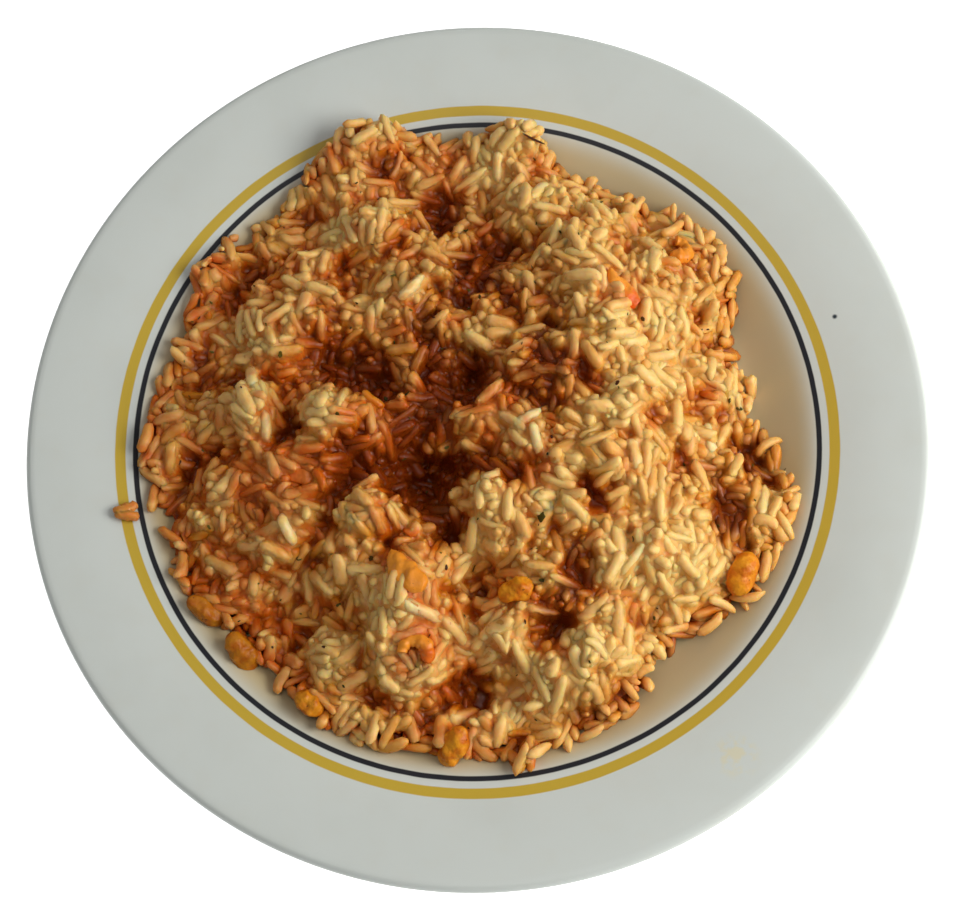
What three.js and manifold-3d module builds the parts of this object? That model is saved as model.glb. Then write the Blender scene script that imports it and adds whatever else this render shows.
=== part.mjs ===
// A plate of seafood risotto: a round china dinner plate, a heap of cooked long-grain rice that fills
// its well, and the cooked pieces of seafood that show in the rice.
// Millimetres, +Z up. The origin is on the table under the middle of the plate. -Y is the near side.
import * as THREE from "three";
import { mergeVertices } from "three/addons/utils/BufferGeometryUtils.js";
import Module from "manifold-3d";

const wasm = await Module();
wasm.setup();

// ---------------------------------------------------------------- driving dimensions

const plate = {
  radius: 120, // to the outside of the lip
  floorZ: 7.5, // upper face of the flat floor
  floorRadius: 74,
  shoulderZ: 16.4, // where the wall of the well turns into the rim
  shoulderRadius: 92.5,
  lipZ: 23.6, // upper face of the rim at its outer end
  rimSwell: 0.5, // how far the rim bows up between shoulder and lip
  rimThickness: 3.8,
  floorThickness: 4.6,
  footInner: 58,
  footOuter: 64,
  footRound: 1, // how far the edges of the foot ring are rounded, and how high
  footRoundZ: 0.4,
  footBlend: 2, // from the foot ring to the underside
  lipBlend: 3, // from the rim to the round lip
  undersideRadii: [80, 86, 92, 99],
  segments: 72,
};

const heap = {
  edgeThickness: 5, // the rice at its outline, about two grains deep
  crownThickness: 23.5,
  shoulderPower: 3, // how squarely the mound turns down to its edge
  sideSlope: 4.5, // fall of the side outside the outline
  rippleHeight: 0.5, // small clumps all over
  plateGap: 0.3,
};

// The heap's outline seen from above: its radius every 10 degrees, turning left from +X.
const outlineRadii = [
  76.5, 76.5, 77, 83.5, 85, 81, 79.5, 81.5, 89.5, 86.5, 90, 94, 91.5, 88.5, 87.5, 88, 87.5, 88.5,
  89.5, 89, 88.5, 86, 78.5, 77, 84, 86.5, 85, 85.5, 88, 86, 82, 77, 80.5, 85, 84, 86.5,
];

// What stands out of the mound (rise above 0) and what sinks into it (below 0): x, y, radius, rise.
const clumps = [
  [31, 52, 20, 7], // the long ridge on the right, from back to front
  [30, 27, 20, 7],
  [32, 2, 19, 6],
  [38, -22, 18, 6],
  [36, -46, 15, 5],
  [24, -67, 11, 5],
  [58, 40, 12, 4], // the lumps down its right side
  [62, 12, 11, 3],
  [72, -26, 9, 4],
  [12, 84, 10, 9], // the two high places at the back
  [-30, 83, 14, 5],
  [-31, 56, 9, 6],
  [-14, 39, 8, 4],
  [-64, 34, 13, 3], // the lumps round the left side
  [-59, 7, 9, 7],
  [-36, 1, 8, 6],
  [-28, -26, 9, 7],
  [-50, -28, 9, 4],
  [-70, -14, 10, 3],
  [-17, -45, 9, 9], // the lumps in front of the hollow
  [-15, -66, 10, 7],
  [7, -24, 8, 5],
  [8, -57, 7, 5],
  [-13, -13, 10, -15], // the deep hollow in the middle
  [-6, -30, 6, -8],
  [-1, 14, 8, -8],
  [-38, 18, 8, -7],
  [-24, 13, 8, -6],
  [-9, 61, 9, -7],
  [6, 49, 11, -5],
  [1, -70, 6, -10],
  [20, -54, 6, -6],
  [-50, -2, 5, -3],
  [3, -42, 6, -6],
  [58, -10, 6, -3],
];

// A cooked grain, and how many lie how.
const grain = { length: 9.2, width: 3.0, bow: 0.35, sides: 5, rings: 3 };
const relief = { attempts: 9000, crest: 1.2, valley: 0.9, spacing: 1.06, merge: 2.1, clear: 1.45 };
const loose = { count: 29, apart: 13, sink: 0.1, tilt: 0.5, clearOfSeafood: 8 };

// The pieces of seafood: name, form, x, y, turn in degrees, length, width, and how far they stand out.
const seafoodGap = 0.3;
const seafood = [
  ["prawn_curl_back", "curl", 55.5, 50, -130, 11, 4.8, 2.0],
  ["prawn_curl_front", "curl", -14.5, -62, -40, 10.5, 4.4, 1.8],
  ["prawn_tail_ridge", "tail", 41, 32, 128, 13.5, 5.2, 1.2],
  ["prawn_tail_middle", "tail", -16, -41, 130, 12.5, 6.0, 1.6],
  ["mussel_right", "mussel", 70, -40, 62, 12.0, 7.6, 3.4],
  ["mussel_front", "mussel", -5, -84, 52, 12.0, 7.2, 2.8],
  ["mussel_middle", "mussel", 11, -46, 12, 9.6, 6.4, 2.4],
  ["mussel_left", "mussel", -61, -59, -60, 12.0, 6.8, 2.8],
  ["clam_left", "mussel", -71, -48.5, -42, 11.5, 5.6, 2.4],
  ["clam_front", "mussel", -42.5, -73, -42, 8.4, 5.8, 2.4],
  ["squid_strip", "strip", -48, -13, -18, 14.5, 5.0, 1.6],
];

// What shapes each form. Flatness is height over width; a bow is given as a share of the length.
const forms = {
  curl: { sweep: 1.45 * Math.PI, taper: 0.45, flatness: 0.95, joints: 6, jointRise: 0.07, nose: 0.2 },
  tail: { bow: 0.12, flatness: 0.8, cut: 0.12, fullness: 0.7, start: 0.06, span: 0.9 },
  mussel: { bow: 0.08, flatness: 0.84, crease: 0.14, creasePhase: 0.6 },
  strip: { arch: 0.9, flatness: 0.4 },
};
const steepestTip = 0.6; // most that a piece follows the slope under it

// The scrap of rice that lies on the coloured lines at the left.
const scrap = { x: -92.5, y: -22, turn: 12, apart: 1.9, lift: 0.115, splay: 0.25, shorter: 0.72 };

// ---------------------------------------------------------------- helpers

/** Seeded random numbers from 0 to 1, the same on every run. */
function randomFrom(seed) {
  let state = seed;
  return () => {
    state = (state + 0x6d2b79f5) | 0;
    let t = Math.imul(state ^ (state >>> 15), 1 | state);
    t = (t + Math.imul(t ^ (t >>> 7), 61 | t)) ^ t;
    return ((t ^ (t >>> 14)) >>> 0) / 4294967296;
  };
}

/** A cubic from (0, a) to (1, b) that leaves with slope da and arrives with slope db. */
function hermite(t, a, da, b, db) {
  const t2 = t * t;
  const t3 = t2 * t;
  return a * (2 * t3 - 3 * t2 + 1) + da * (t3 - 2 * t2 + t) + b * (3 * t2 - 2 * t3) + db * (t3 - t2);
}

/** A closed mesh as a manifold solid. */
function solidOf(geometry) {
  const bare = new THREE.BufferGeometry();
  bare.setAttribute("position", geometry.getAttribute("position").clone());
  bare.setIndex(geometry.index);
  const merged = mergeVertices(bare, 1e-4);
  return new wasm.Manifold(
    new wasm.Mesh({
      numProp: 3,
      vertProperties: new Float32Array(merged.attributes.position.array),
      triVerts: new Uint32Array(merged.index.array),
    }),
  );
}

/** A manifold solid as a mesh for three.js. */
function geometryOf(solid) {
  const mesh = solid.getMesh();
  const geometry = new THREE.BufferGeometry();
  geometry.setAttribute("position", new THREE.BufferAttribute(new Float32Array(mesh.vertProperties), 3));
  geometry.setIndex(new THREE.BufferAttribute(new Uint32Array(mesh.triVerts), 1));
  geometry.computeVertexNormals();
  return geometry;
}

/** The largest single body of a solid, without loose scraps. */
function largestBody(solid) {
  return solid.decompose().reduce((a, b) => (b.volume() > a.volume() ? b : a));
}

/**
 * A closed body carried along a path that stays level: at each of `rings` places a flattened ring of
 * `sides` points, `halfWidth` wide and `halfHeight` high, and a point at either end.
 */
function sweep({ path, halfWidth, halfHeight, rings, sides }) {
  const positions = [...path(0).toArray()];
  for (let i = 0; i < rings; i++) {
    const t = (i + 0.5) / rings;
    const centre = path(t);
    const along = path(Math.min(1, t + 0.01)).sub(path(Math.max(0, t - 0.01))).normalize();
    const across = new THREE.Vector3(-along.y, along.x, 0).normalize();
    for (let j = 0; j < sides; j++) {
      const a = (2 * Math.PI * (j + 0.5 * (i % 2))) / sides;
      const point = centre.clone().addScaledVector(across, halfWidth(t) * Math.cos(a));
      point.z += halfHeight(t) * Math.sin(a);
      positions.push(...point.toArray());
    }
  }
  positions.push(...path(1).toArray());
  const end = 1 + rings * sides;
  const at = (i, j) => 1 + i * sides + (j % sides);
  const faces = [];
  for (let j = 0; j < sides; j++) {
    faces.push(0, at(0, j + 1), at(0, j));
    faces.push(end, at(rings - 1, j), at(rings - 1, j + 1));
    for (let i = 0; i + 1 < rings; i++) {
      // Every second ring is turned half a step, so the shorter diagonal changes sides with it.
      const [a, b, c, d] = [at(i, j), at(i, j + 1), at(i + 1, j + 1), at(i + 1, j)];
      if (i % 2) faces.push(a, b, c, a, c, d);
      else faces.push(a, b, d, b, c, d);
    }
  }
  const geometry = new THREE.BufferGeometry();
  geometry.setAttribute("position", new THREE.Float32BufferAttribute(positions, 3));
  geometry.setIndex(faces);
  return geometry;
}

/** Turns a body about +Z, tips its far end up, and moves it to a place. */
function place(geometry, position, turn, tip = 0) {
  const rotation = new THREE.Euler(0, -tip, turn, "ZYX");
  const matrix = new THREE.Matrix4().makeRotationFromEuler(rotation).setPosition(position);
  return geometry.applyMatrix4(matrix);
}

// ---------------------------------------------------------------- the plate

/** Height of the plate's upper face at radius r: floor, then the wall of the well, then the rim. */
function plateTop(r) {
  const rimRun = plate.radius - plate.shoulderRadius;
  const rimSlope = (plate.lipZ - plate.shoulderZ) / rimRun;
  if (r <= plate.floorRadius) return plate.floorZ;
  if (r <= plate.shoulderRadius) {
    const run = plate.shoulderRadius - plate.floorRadius;
    return hermite((r - plate.floorRadius) / run, plate.floorZ, 0, plate.shoulderZ, rimSlope * run);
  }
  const t = (r - plate.shoulderRadius) / rimRun;
  return plate.shoulderZ + rimSlope * rimRun * t + plate.rimSwell * Math.sin(Math.PI * t);
}

/** Radii at which a profile of the upper face needs a point. */
function plateStations(lastRadius) {
  const wall = [0, 0.2, 0.4, 0.6, 0.8, 1].map(
    (t) => plate.floorRadius + t * (plate.shoulderRadius - plate.floorRadius),
  );
  const rim = [0.3, 0.65].map((t) => plate.shoulderRadius + t * (lastRadius - plate.shoulderRadius));
  return [...wall, ...rim, lastRadius];
}

function plateGeometry() {
  const lip = plate.rimThickness / 2;
  const lipRadius = plate.radius - lip;
  const lipCentre = plateTop(lipRadius) - lip;
  const underFloor = plate.floorZ - plate.floorThickness;
  const underRim = (r) => plateTop(r) - plate.rimThickness;
  const { footInner, footOuter, footRound, footRoundZ, footBlend } = plate;
  const profile = [new THREE.Vector2(0, underFloor)];
  profile.push(new THREE.Vector2(footInner - footBlend, underFloor));
  profile.push(new THREE.Vector2(footInner, footRoundZ));
  profile.push(new THREE.Vector2(footInner + footRound, 0));
  profile.push(new THREE.Vector2(footOuter - footRound, 0));
  profile.push(new THREE.Vector2(footOuter, footRoundZ));
  profile.push(new THREE.Vector2(footOuter + footBlend, underFloor));
  for (const r of plate.undersideRadii) profile.push(new THREE.Vector2(r, underRim(r)));
  for (const degrees of [-70, 0, 70]) {
    const a = THREE.MathUtils.degToRad(degrees);
    profile.push(new THREE.Vector2(lipRadius + lip * Math.cos(a), lipCentre + lip * Math.sin(a)));
  }
  const top = plateStations(lipRadius - plate.lipBlend).reverse();
  for (const r of top) profile.push(new THREE.Vector2(r, plateTop(r)));
  profile.push(new THREE.Vector2(0, plate.floorZ));
  return new THREE.LatheGeometry(profile, plate.segments).rotateX(Math.PI / 2);
}

// ---------------------------------------------------------------- the form of the heap

/** The outline's radius in a direction, smooth between the listed radii. */
function outlineRadius(angle) {
  const count = outlineRadii.length;
  const turns = (((angle / (2 * Math.PI)) % 1) + 1) % 1;
  const i = Math.floor(turns * count);
  const at = (k) => outlineRadii[(k + count) % count];
  const [a, b, c, d] = [at(i - 1), at(i), at(i + 1), at(i + 2)];
  return hermite(turns * count - i, b, (c - a) / 2, c, (d - b) / 2);
}

/** Small clumps without a pattern, from -1 to 1. */
function ripple(x, y) {
  const a = Math.sin(0.43 * x + 2.1 * Math.sin(0.17 * y + 0.6));
  const b = Math.sin(0.39 * y + 1.9 * Math.sin(0.21 * x + 2.2));
  return a * b;
}

/** Height of the rice's smooth form, before single grains are laid on it. */
function riceTop(x, y) {
  const r = Math.hypot(x, y);
  const edge = outlineRadius(Math.atan2(y, x));
  const share = r / edge;
  const crown = (heap.crownThickness - heap.edgeThickness) * (1 - share ** heap.shoulderPower);
  let z = plateTop(r) + heap.edgeThickness + crown;
  for (const [cx, cy, radius, rise] of clumps) {
    z += rise * Math.exp(-((x - cx) ** 2 + (y - cy) ** 2) / radius ** 2);
  }
  z += heap.rippleHeight * ripple(x, y);
  return z - heap.sideSlope * Math.max(0, r - edge);
}

// ---------------------------------------------------------------- grains

/** A low grain of rice, lying along +X, slightly bowed, with blunt ends. */
function grainGeometry(length, width) {
  const blunt = (t) => Math.sqrt(1 - Math.abs(2 * t - 1) ** 3);
  return sweep({
    path: (t) => new THREE.Vector3((t - 0.5) * length, grain.bow * Math.sin(Math.PI * t), 0),
    halfWidth: (t) => (width / 2) * blunt(t),
    halfHeight: (t) => (width / 2) * 0.88 * blunt(t),
    rings: grain.rings,
    sides: grain.sides,
  });
}

/** Shortest distance between two level lines of half length h, each given by middle and direction. */
function lineDistance(p, q, h) {
  let least = Infinity;
  for (const [a, b] of [[p, q], [q, p]]) {
    for (const end of [-h, 0, h]) {
      const x = a.x + end * a.dx - b.x;
      const y = a.y + end * a.dy - b.y;
      const along = Math.max(-h, Math.min(h, x * b.dx + y * b.dy));
      least = Math.min(least, Math.hypot(x - along * b.dx, y - along * b.dy));
    }
  }
  return least;
}

/** Grains that lie side by side all over the heap without crossing: middle and direction of each. */
function reliefGrains() {
  const random = randomFrom(11);
  const half = 0.34 * grain.length;
  const found = [];
  for (let k = 0; k < relief.attempts; k++) {
    const angle = 2 * Math.PI * random();
    const turn = Math.PI * random();
    const reach = Math.sqrt(random()) * (outlineRadius(angle) - 0.5);
    const candidate = {
      x: reach * Math.cos(angle),
      y: reach * Math.sin(angle),
      dx: Math.cos(turn),
      dy: Math.sin(turn),
    };
    const clear = found.every(
      (g) =>
        Math.abs(g.x - candidate.x) > grain.length + 1 ||
        Math.abs(g.y - candidate.y) > grain.length + 1 ||
        lineDistance(g, candidate, half) > relief.spacing * grain.width,
    );
    if (clear) found.push(candidate);
  }
  return found;
}

/** The points of the heap's upper face: a crest along each grain, and the low line round it. */
function reliefPoints() {
  const crests = [];
  const lows = [];
  for (const g of reliefGrains()) {
    const at = (along, across, rise) => {
      const x = g.x + along * g.dx - across * g.dy;
      const y = g.y + along * g.dy + across * g.dx;
      return [x, y, riceTop(x, y) + rise];
    };
    const end = 0.3 * grain.length;
    for (const along of [-end, end]) crests.push(at(along, 0, relief.crest));
    for (const along of [-end, end]) {
      for (const across of [-0.56, 0.56]) lows.push(at(along, across * grain.width, -relief.valley));
    }
    for (const along of [-0.56, 0.56]) lows.push(at(along * grain.length, 0, -relief.valley));
  }
  const kept = [];
  for (const p of lows) {
    const near = (reach) => (q) => Math.hypot(p[0] - q[0], p[1] - q[1]) < reach;
    if (!kept.some(near(relief.merge)) && !crests.some(near(relief.clear))) kept.push(p);
  }
  // A ring under the plate's face closes the side of the heap.
  const count = 60;
  for (let k = 0; k < count; k++) {
    const angle = (2 * Math.PI * (k + 0.5)) / count;
    for (const [out, z] of [[2.6, 4], [9, 0]]) {
      const r = outlineRadius(angle) + out;
      kept.push([r * Math.cos(angle), r * Math.sin(angle), z]);
    }
  }
  return [...crests, ...kept];
}

/** Delaunay triangles of points in the plane, each turning left, by adding one point at a time. */
function triangulate(points) {
  const far = 1e4;
  const all = [...points, [-far, -far], [far, -far], [0, far]];
  const circle = (a, b, c) => {
    const [ax, ay] = all[a];
    const [bx, by] = [all[b][0] - ax, all[b][1] - ay];
    const [cx, cy] = [all[c][0] - ax, all[c][1] - ay];
    const d = 2 * (bx * cy - by * cx);
    const ux = (cy * (bx * bx + by * by) - by * (cx * cx + cy * cy)) / d;
    const uy = (bx * (cx * cx + cy * cy) - cx * (bx * bx + by * by)) / d;
    return { a, b, c, x: ax + ux, y: ay + uy, r2: ux * ux + uy * uy };
  };
  const n = points.length;
  let triangles = [circle(n, n + 1, n + 2)];
  points.forEach(([x, y], i) => {
    const edges = new Map();
    const kept = [];
    for (const t of triangles) {
      if ((x - t.x) ** 2 + (y - t.y) ** 2 >= t.r2) {
        kept.push(t);
        continue;
      }
      for (const [from, to] of [[t.a, t.b], [t.b, t.c], [t.c, t.a]]) {
        // An edge met in both directions lies inside the hole, and goes.
        if (!edges.delete(`${to},${from}`)) edges.set(`${from},${to}`, [from, to]);
      }
    }
    for (const [from, to] of edges.values()) kept.push(circle(from, to, i));
    triangles = kept;
  });
  return triangles.filter((t) => Math.max(t.a, t.b, t.c) < n).map((t) => [t.a, t.b, t.c]);
}

/** A closed block under a triangulated face, down to a flat bottom below the plate. */
function blockUnder(points, bottomZ) {
  const triangles = triangulate(points);
  const n = points.length;
  const positions = [...points.flat(), ...points.flatMap(([x, y]) => [x, y, bottomZ])];
  const faces = [];
  const rim = new Map();
  for (const [a, b, c] of triangles) {
    faces.push(a, b, c, n + a, n + c, n + b);
    for (const [from, to] of [[a, b], [b, c], [c, a]]) {
      if (!rim.delete(`${to},${from}`)) rim.set(`${from},${to}`, [from, to]);
    }
  }
  for (const [from, to] of rim.values()) faces.push(from, n + from, to, to, n + from, n + to);
  const geometry = new THREE.BufferGeometry();
  geometry.setAttribute("position", new THREE.Float32BufferAttribute(positions, 3));
  geometry.setIndex(faces);
  return geometry;
}

/** Everything below the plate's upper face and the gap over it, to cut the underside of the food. */
function plateMould({ gap, outer, bottomZ }) {
  const profile = [new THREE.Vector2(0, bottomZ), new THREE.Vector2(outer, bottomZ)];
  for (const r of plateStations(outer).reverse()) profile.push(new THREE.Vector2(r, plateTop(r) + gap));
  profile.push(new THREE.Vector2(0, plate.floorZ + gap));
  return new THREE.LatheGeometry(profile, plate.segments).rotateX(Math.PI / 2);
}

// ---------------------------------------------------------------- seafood

/** The forms of seafood, each lying along +X, `swell` thicker all round than its true size. */
const seafoodForms = {
  // A peeled prawn curled on its side: a bent body that thins to the tail, ringed by its joints.
  curl: (length, width, swell) => {
    const { sweep: turned, taper, flatness, joints, jointRise, nose } = forms.curl;
    const radius = (length - width) / 2;
    const round = (t) => Math.sqrt(1 - (1 - Math.min(1, t / nose)) ** 2 * 0.9);
    const body = (t) =>
      (width / 2) * (1 - taper * t) * round(t) * (1 + jointRise * Math.cos(2 * Math.PI * joints * t));
    return sweep({
      path: (t) => new THREE.Vector3(radius * Math.cos(turned * t), radius * Math.sin(turned * t), 0),
      halfWidth: (t) => body(t) + swell,
      halfHeight: (t) => body(t) * flatness + swell,
      rings: 12,
      sides: 6,
    });
  },
  // The straight end of a prawn: broad at the cut, tapering, slightly bowed.
  tail: (length, width, swell) => {
    const { bow, flatness, cut, fullness, start, span } = forms.tail;
    return sweep({
      path: (t) => {
        const x = (t - 0.5) * (length + 2 * swell);
        return new THREE.Vector3(x, bow * length * Math.sin(Math.PI * t), 0);
      },
      halfWidth: (t) =>
        (width / 2) * Math.sqrt(Math.sin(Math.PI * Math.min(1, t + cut) ** fullness)) + swell,
      halfHeight: (t) =>
        (width / 2) * flatness * Math.sqrt(Math.sin(Math.PI * (start + span * t))) + swell,
      rings: 8,
      sides: 7,
    });
  },
  // Mussel or clam meat: a plump oval with a crease round the foot end.
  mussel: (length, width, swell) => {
    const { bow, flatness, crease, creasePhase } = forms.mussel;
    const creased = (t) => 1 + crease * Math.sin(3 * Math.PI * t + creasePhase);
    const oval = (t) => Math.sqrt(1 - (2 * t - 1) ** 2) * creased(t);
    return sweep({
      path: (t) => new THREE.Vector3((t - 0.5) * (length + 2 * swell), bow * length * t * t, 0),
      halfWidth: (t) => (width / 2) * oval(t) + swell,
      halfHeight: (t) => (width / 2) * flatness * oval(t) + swell,
      rings: 6,
      sides: 8,
    });
  },
  // A strip of squid: a flat band with round ends, bent over the rice.
  strip: (length, width, swell) => {
    const { arch, flatness } = forms.strip;
    const band = (t) => (width / 2) * Math.min(1, 3 * Math.sqrt(t * (1 - t)));
    return sweep({
      path: (t) => new THREE.Vector3((t - 0.5) * (length + 2 * swell), 0, arch * Math.sin(Math.PI * t)),
      halfWidth: (t) => band(t) + swell,
      halfHeight: (t) => band(t) * flatness + swell,
      rings: 6,
      sides: 8,
    });
  },
};

/** A piece of seafood in its place on the rice, or the space that the rice leaves for it. */
function seafoodGeometry([, form, x, y, turn, length, width, standOut], swell = 0) {
  const z = Math.max(riceTop(x, y), plateTop(Math.hypot(x, y)) + width / 2) - width / 2 + standOut;
  const slope = (riceTop(x + 3, y) - riceTop(x - 3, y)) / 6;
  const rise = (riceTop(x, y + 3) - riceTop(x, y - 3)) / 6;
  const a = THREE.MathUtils.degToRad(turn);
  const climb = slope * Math.cos(a) + rise * Math.sin(a);
  const tip = Math.atan(Math.max(-steepestTip, Math.min(steepestTip, climb)));
  return place(seafoodForms[form](length, width, swell), new THREE.Vector3(x, y, z), a, tip);
}

// ---------------------------------------------------------------- the heap as one solid

/** Grains that stand out of the heap, spread evenly, away from the seafood. */
function looseGrains() {
  const random = randomFrom(5);
  const places = [];
  const solids = [];
  while (solids.length < loose.count) {
    const angle = 2 * Math.PI * random();
    const reach = Math.sqrt(random()) * (outlineRadius(angle) - 2);
    const [x, y] = [reach * Math.cos(angle), reach * Math.sin(angle)];
    const turn = 2 * Math.PI * random();
    const lean = loose.tilt * (2 * random() - 1);
    const size = 0.92 + 0.2 * random();
    const near = ([px, py]) => Math.hypot(px - x, py - y) < loose.apart;
    const onSeafood = seafood.some((s) => Math.hypot(s[2] - x, s[3] - y) < loose.clearOfSeafood);
    if (onSeafood || places.some(near)) continue;
    places.push([x, y]);
    const span = grain.length / 3;
    const ahead = riceTop(x + span * Math.cos(turn), y + span * Math.sin(turn));
    const behind = riceTop(x - span * Math.cos(turn), y - span * Math.sin(turn));
    const tip = Math.atan((ahead - behind) / (2 * span)) + lean;
    const z = (ahead + behind) / 2 + relief.crest - loose.sink * grain.width;
    const geometry = grainGeometry(size * grain.length, size * grain.width);
    solids.push(solidOf(place(geometry, new THREE.Vector3(x, y, z), turn, tip)));
  }
  return solids;
}

function riceGeometry() {
  const core = solidOf(blockUnder(reliefPoints(), -4));
  const joined = wasm.Manifold.union([core, ...looseGrains()]);
  const spaces = seafood.map((piece) => solidOf(seafoodGeometry(piece, seafoodGap)));
  return geometryOf(largestBody(joined.subtract(wasm.Manifold.union([underside, ...spaces]))));
}

/** Two grains stuck together, lying on the rim. */
function scrapGeometry() {
  const turn = THREE.MathUtils.degToRad(scrap.turn);
  const r = Math.hypot(scrap.x, scrap.y);
  const slope = Math.atan((plateTop(r + 2) - plateTop(r - 2)) / 4);
  const pair = [-1, 1].map((side) => {
    const x = scrap.x - side * (scrap.apart / 2) * Math.sin(turn);
    const y = scrap.y + side * (scrap.apart / 2) * Math.cos(turn);
    const z = plateTop(Math.hypot(x, y)) + grain.width / 2 + heap.plateGap + scrap.lift;
    const geometry = grainGeometry(grain.length * scrap.shorter, grain.width);
    return solidOf(place(geometry, new THREE.Vector3(x, y, z), turn + scrap.splay * side, -slope));
  });
  return geometryOf(largestBody(wasm.Manifold.union(pair)));
}

// ---------------------------------------------------------------- the finished object

const glaze = new THREE.MeshStandardMaterial({ color: 0xdfe2dc, roughness: 0.18, metalness: 0 });
const cookedRice = new THREE.MeshStandardMaterial({ color: 0xe2ab62, roughness: 0.45, metalness: 0 });
const prawn = new THREE.MeshStandardMaterial({ color: 0xe48a3c, roughness: 0.4, metalness: 0 });
const shellfish = new THREE.MeshStandardMaterial({ color: 0xe0a03a, roughness: 0.4, metalness: 0 });
const squid = new THREE.MeshStandardMaterial({ color: 0xe8a86a, roughness: 0.4, metalness: 0 });
const finishes = { curl: prawn, tail: prawn, mussel: shellfish, strip: squid };

const underside = solidOf(plateMould({ gap: heap.plateGap, outer: 116, bottomZ: -20 }));
const risotto = new THREE.Group();

function add(name, geometry, material) {
  const mesh = new THREE.Mesh(geometry, material);
  mesh.name = name;
  risotto.add(mesh);
}

add("plate", plateGeometry(), glaze);
add("rice", riceGeometry(), cookedRice);
add("rice_scrap", scrapGeometry(), cookedRice);
for (const piece of seafood) {
  const clearOfPlate = largestBody(solidOf(seafoodGeometry(piece)).subtract(underside));
  add(piece[0], geometryOf(clearOfPlate), finishes[piece[1]]);
}

export default risotto;
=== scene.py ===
import bpy
import numpy as np
from mathutils import Matrix, Vector


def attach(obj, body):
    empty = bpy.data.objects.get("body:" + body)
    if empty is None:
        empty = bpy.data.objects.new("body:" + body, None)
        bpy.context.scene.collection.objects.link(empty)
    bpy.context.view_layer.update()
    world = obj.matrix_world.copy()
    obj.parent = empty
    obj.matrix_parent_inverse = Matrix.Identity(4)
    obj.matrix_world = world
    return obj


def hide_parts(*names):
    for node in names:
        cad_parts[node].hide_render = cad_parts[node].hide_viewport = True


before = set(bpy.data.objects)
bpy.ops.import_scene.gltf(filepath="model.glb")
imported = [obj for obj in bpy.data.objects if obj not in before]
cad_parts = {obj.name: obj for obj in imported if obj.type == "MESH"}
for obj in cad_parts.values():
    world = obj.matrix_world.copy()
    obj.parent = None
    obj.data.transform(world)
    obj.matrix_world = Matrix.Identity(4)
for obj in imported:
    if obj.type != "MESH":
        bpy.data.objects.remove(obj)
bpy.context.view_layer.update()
mm = 0.001
tau = 2 * np.pi


def addPiece(name, points, faces, material, nodeNames, values):
    # Points in millimetres; faces is a list of index arrays with one row to a face.
    mesh = bpy.data.meshes.new(name)
    mesh.vertices.add(len(points))
    mesh.vertices.foreach_set("co", (points * mm).astype(np.float32).ravel())
    corners = np.concatenate([rows.ravel() for rows in faces]).astype(np.int32)
    sizes = np.concatenate([np.full(len(rows), rows.shape[1]) for rows in faces])
    mesh.loops.add(len(corners))
    mesh.loops.foreach_set("vertex_index", corners)
    mesh.polygons.add(len(sizes))
    starts = np.concatenate([[0], np.cumsum(sizes)[:-1]]).astype(np.int32)
    mesh.polygons.foreach_set("loop_start", starts)
    mesh.polygons.foreach_set("use_smooth", np.full(len(sizes), True))
    for key, data in values.items():
        attribute = mesh.attributes.new(key, "FLOAT", "POINT")
        attribute.data.foreach_set("value", np.asarray(data, np.float32).ravel())
    mesh.update(calc_edges=True)
    mesh.validate()
    mesh.materials.append(material)
    piece = bpy.data.objects.new(name, mesh)
    bpy.context.scene.collection.objects.link(piece)
    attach(piece, "root")
    if nodeNames:
        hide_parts(*nodeNames)
    print(name, len(points), "points", len(sizes), "faces")


def tubeFaces(rings, sides):
    # Faces of a closed body: a first pole, `rings` rings of `sides` points, a last pole.
    ring = np.arange(rings - 1)[:, None] * sides
    side = np.arange(sides)[None, :]
    after = (side + 1) % sides
    quads = np.stack([ring + side, ring + after, ring + after + sides, ring + side + sides], -1)
    around = np.arange(sides)
    nextAround = (around + 1) % sides
    last = 1 + rings * sides
    first = np.stack([np.zeros(sides, int), 1 + nextAround, 1 + around], -1)
    final = np.stack([np.full(sides, last), last - sides + around, last - sides + nextAround], -1)
    return [quads.reshape(-1, 4) + 1, np.concatenate([first, final])]


def unit(vectors):
    return vectors / np.maximum(np.linalg.norm(vectors, axis=-1, keepdims=True), 1e-9)


wobbling = {"waves": 9, "pitch": (0.6, 1.5), "scale": 3.2}


def wobble(points, size, seed):
    # Smooth noise from about -1 to 1, with bumps of about one size: a scaled sum of sine waves whose
    # directions, pitches and starts are random.
    random = np.random.default_rng(seed)
    count = wobbling["waves"]
    ways = unit(random.normal(size=(count, points.shape[-1]))) * tau / size
    ways *= random.uniform(*wobbling["pitch"], (count, 1))
    waves = np.sin(points @ ways.T + random.uniform(0, tau, count))
    return waves.sum(-1) / wobbling["scale"]


def bell(x, y, middleX, middleY, reach):
    # A round bump that is 1 at its middle and fades over its reach.
    return np.exp(-((x - middleX) ** 2 + (y - middleY) ** 2) / reach**2)


def hermite(t, a, da, b, db):
    # A cubic from a to b that leaves with slope da and arrives with slope db.
    t2 = t * t
    t3 = t2 * t
    return a * (2 * t3 - 3 * t2 + 1) + da * (t3 - 2 * t2 + t) + b * (3 * t2 - 2 * t3) + db * (t3 - t2)


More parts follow.
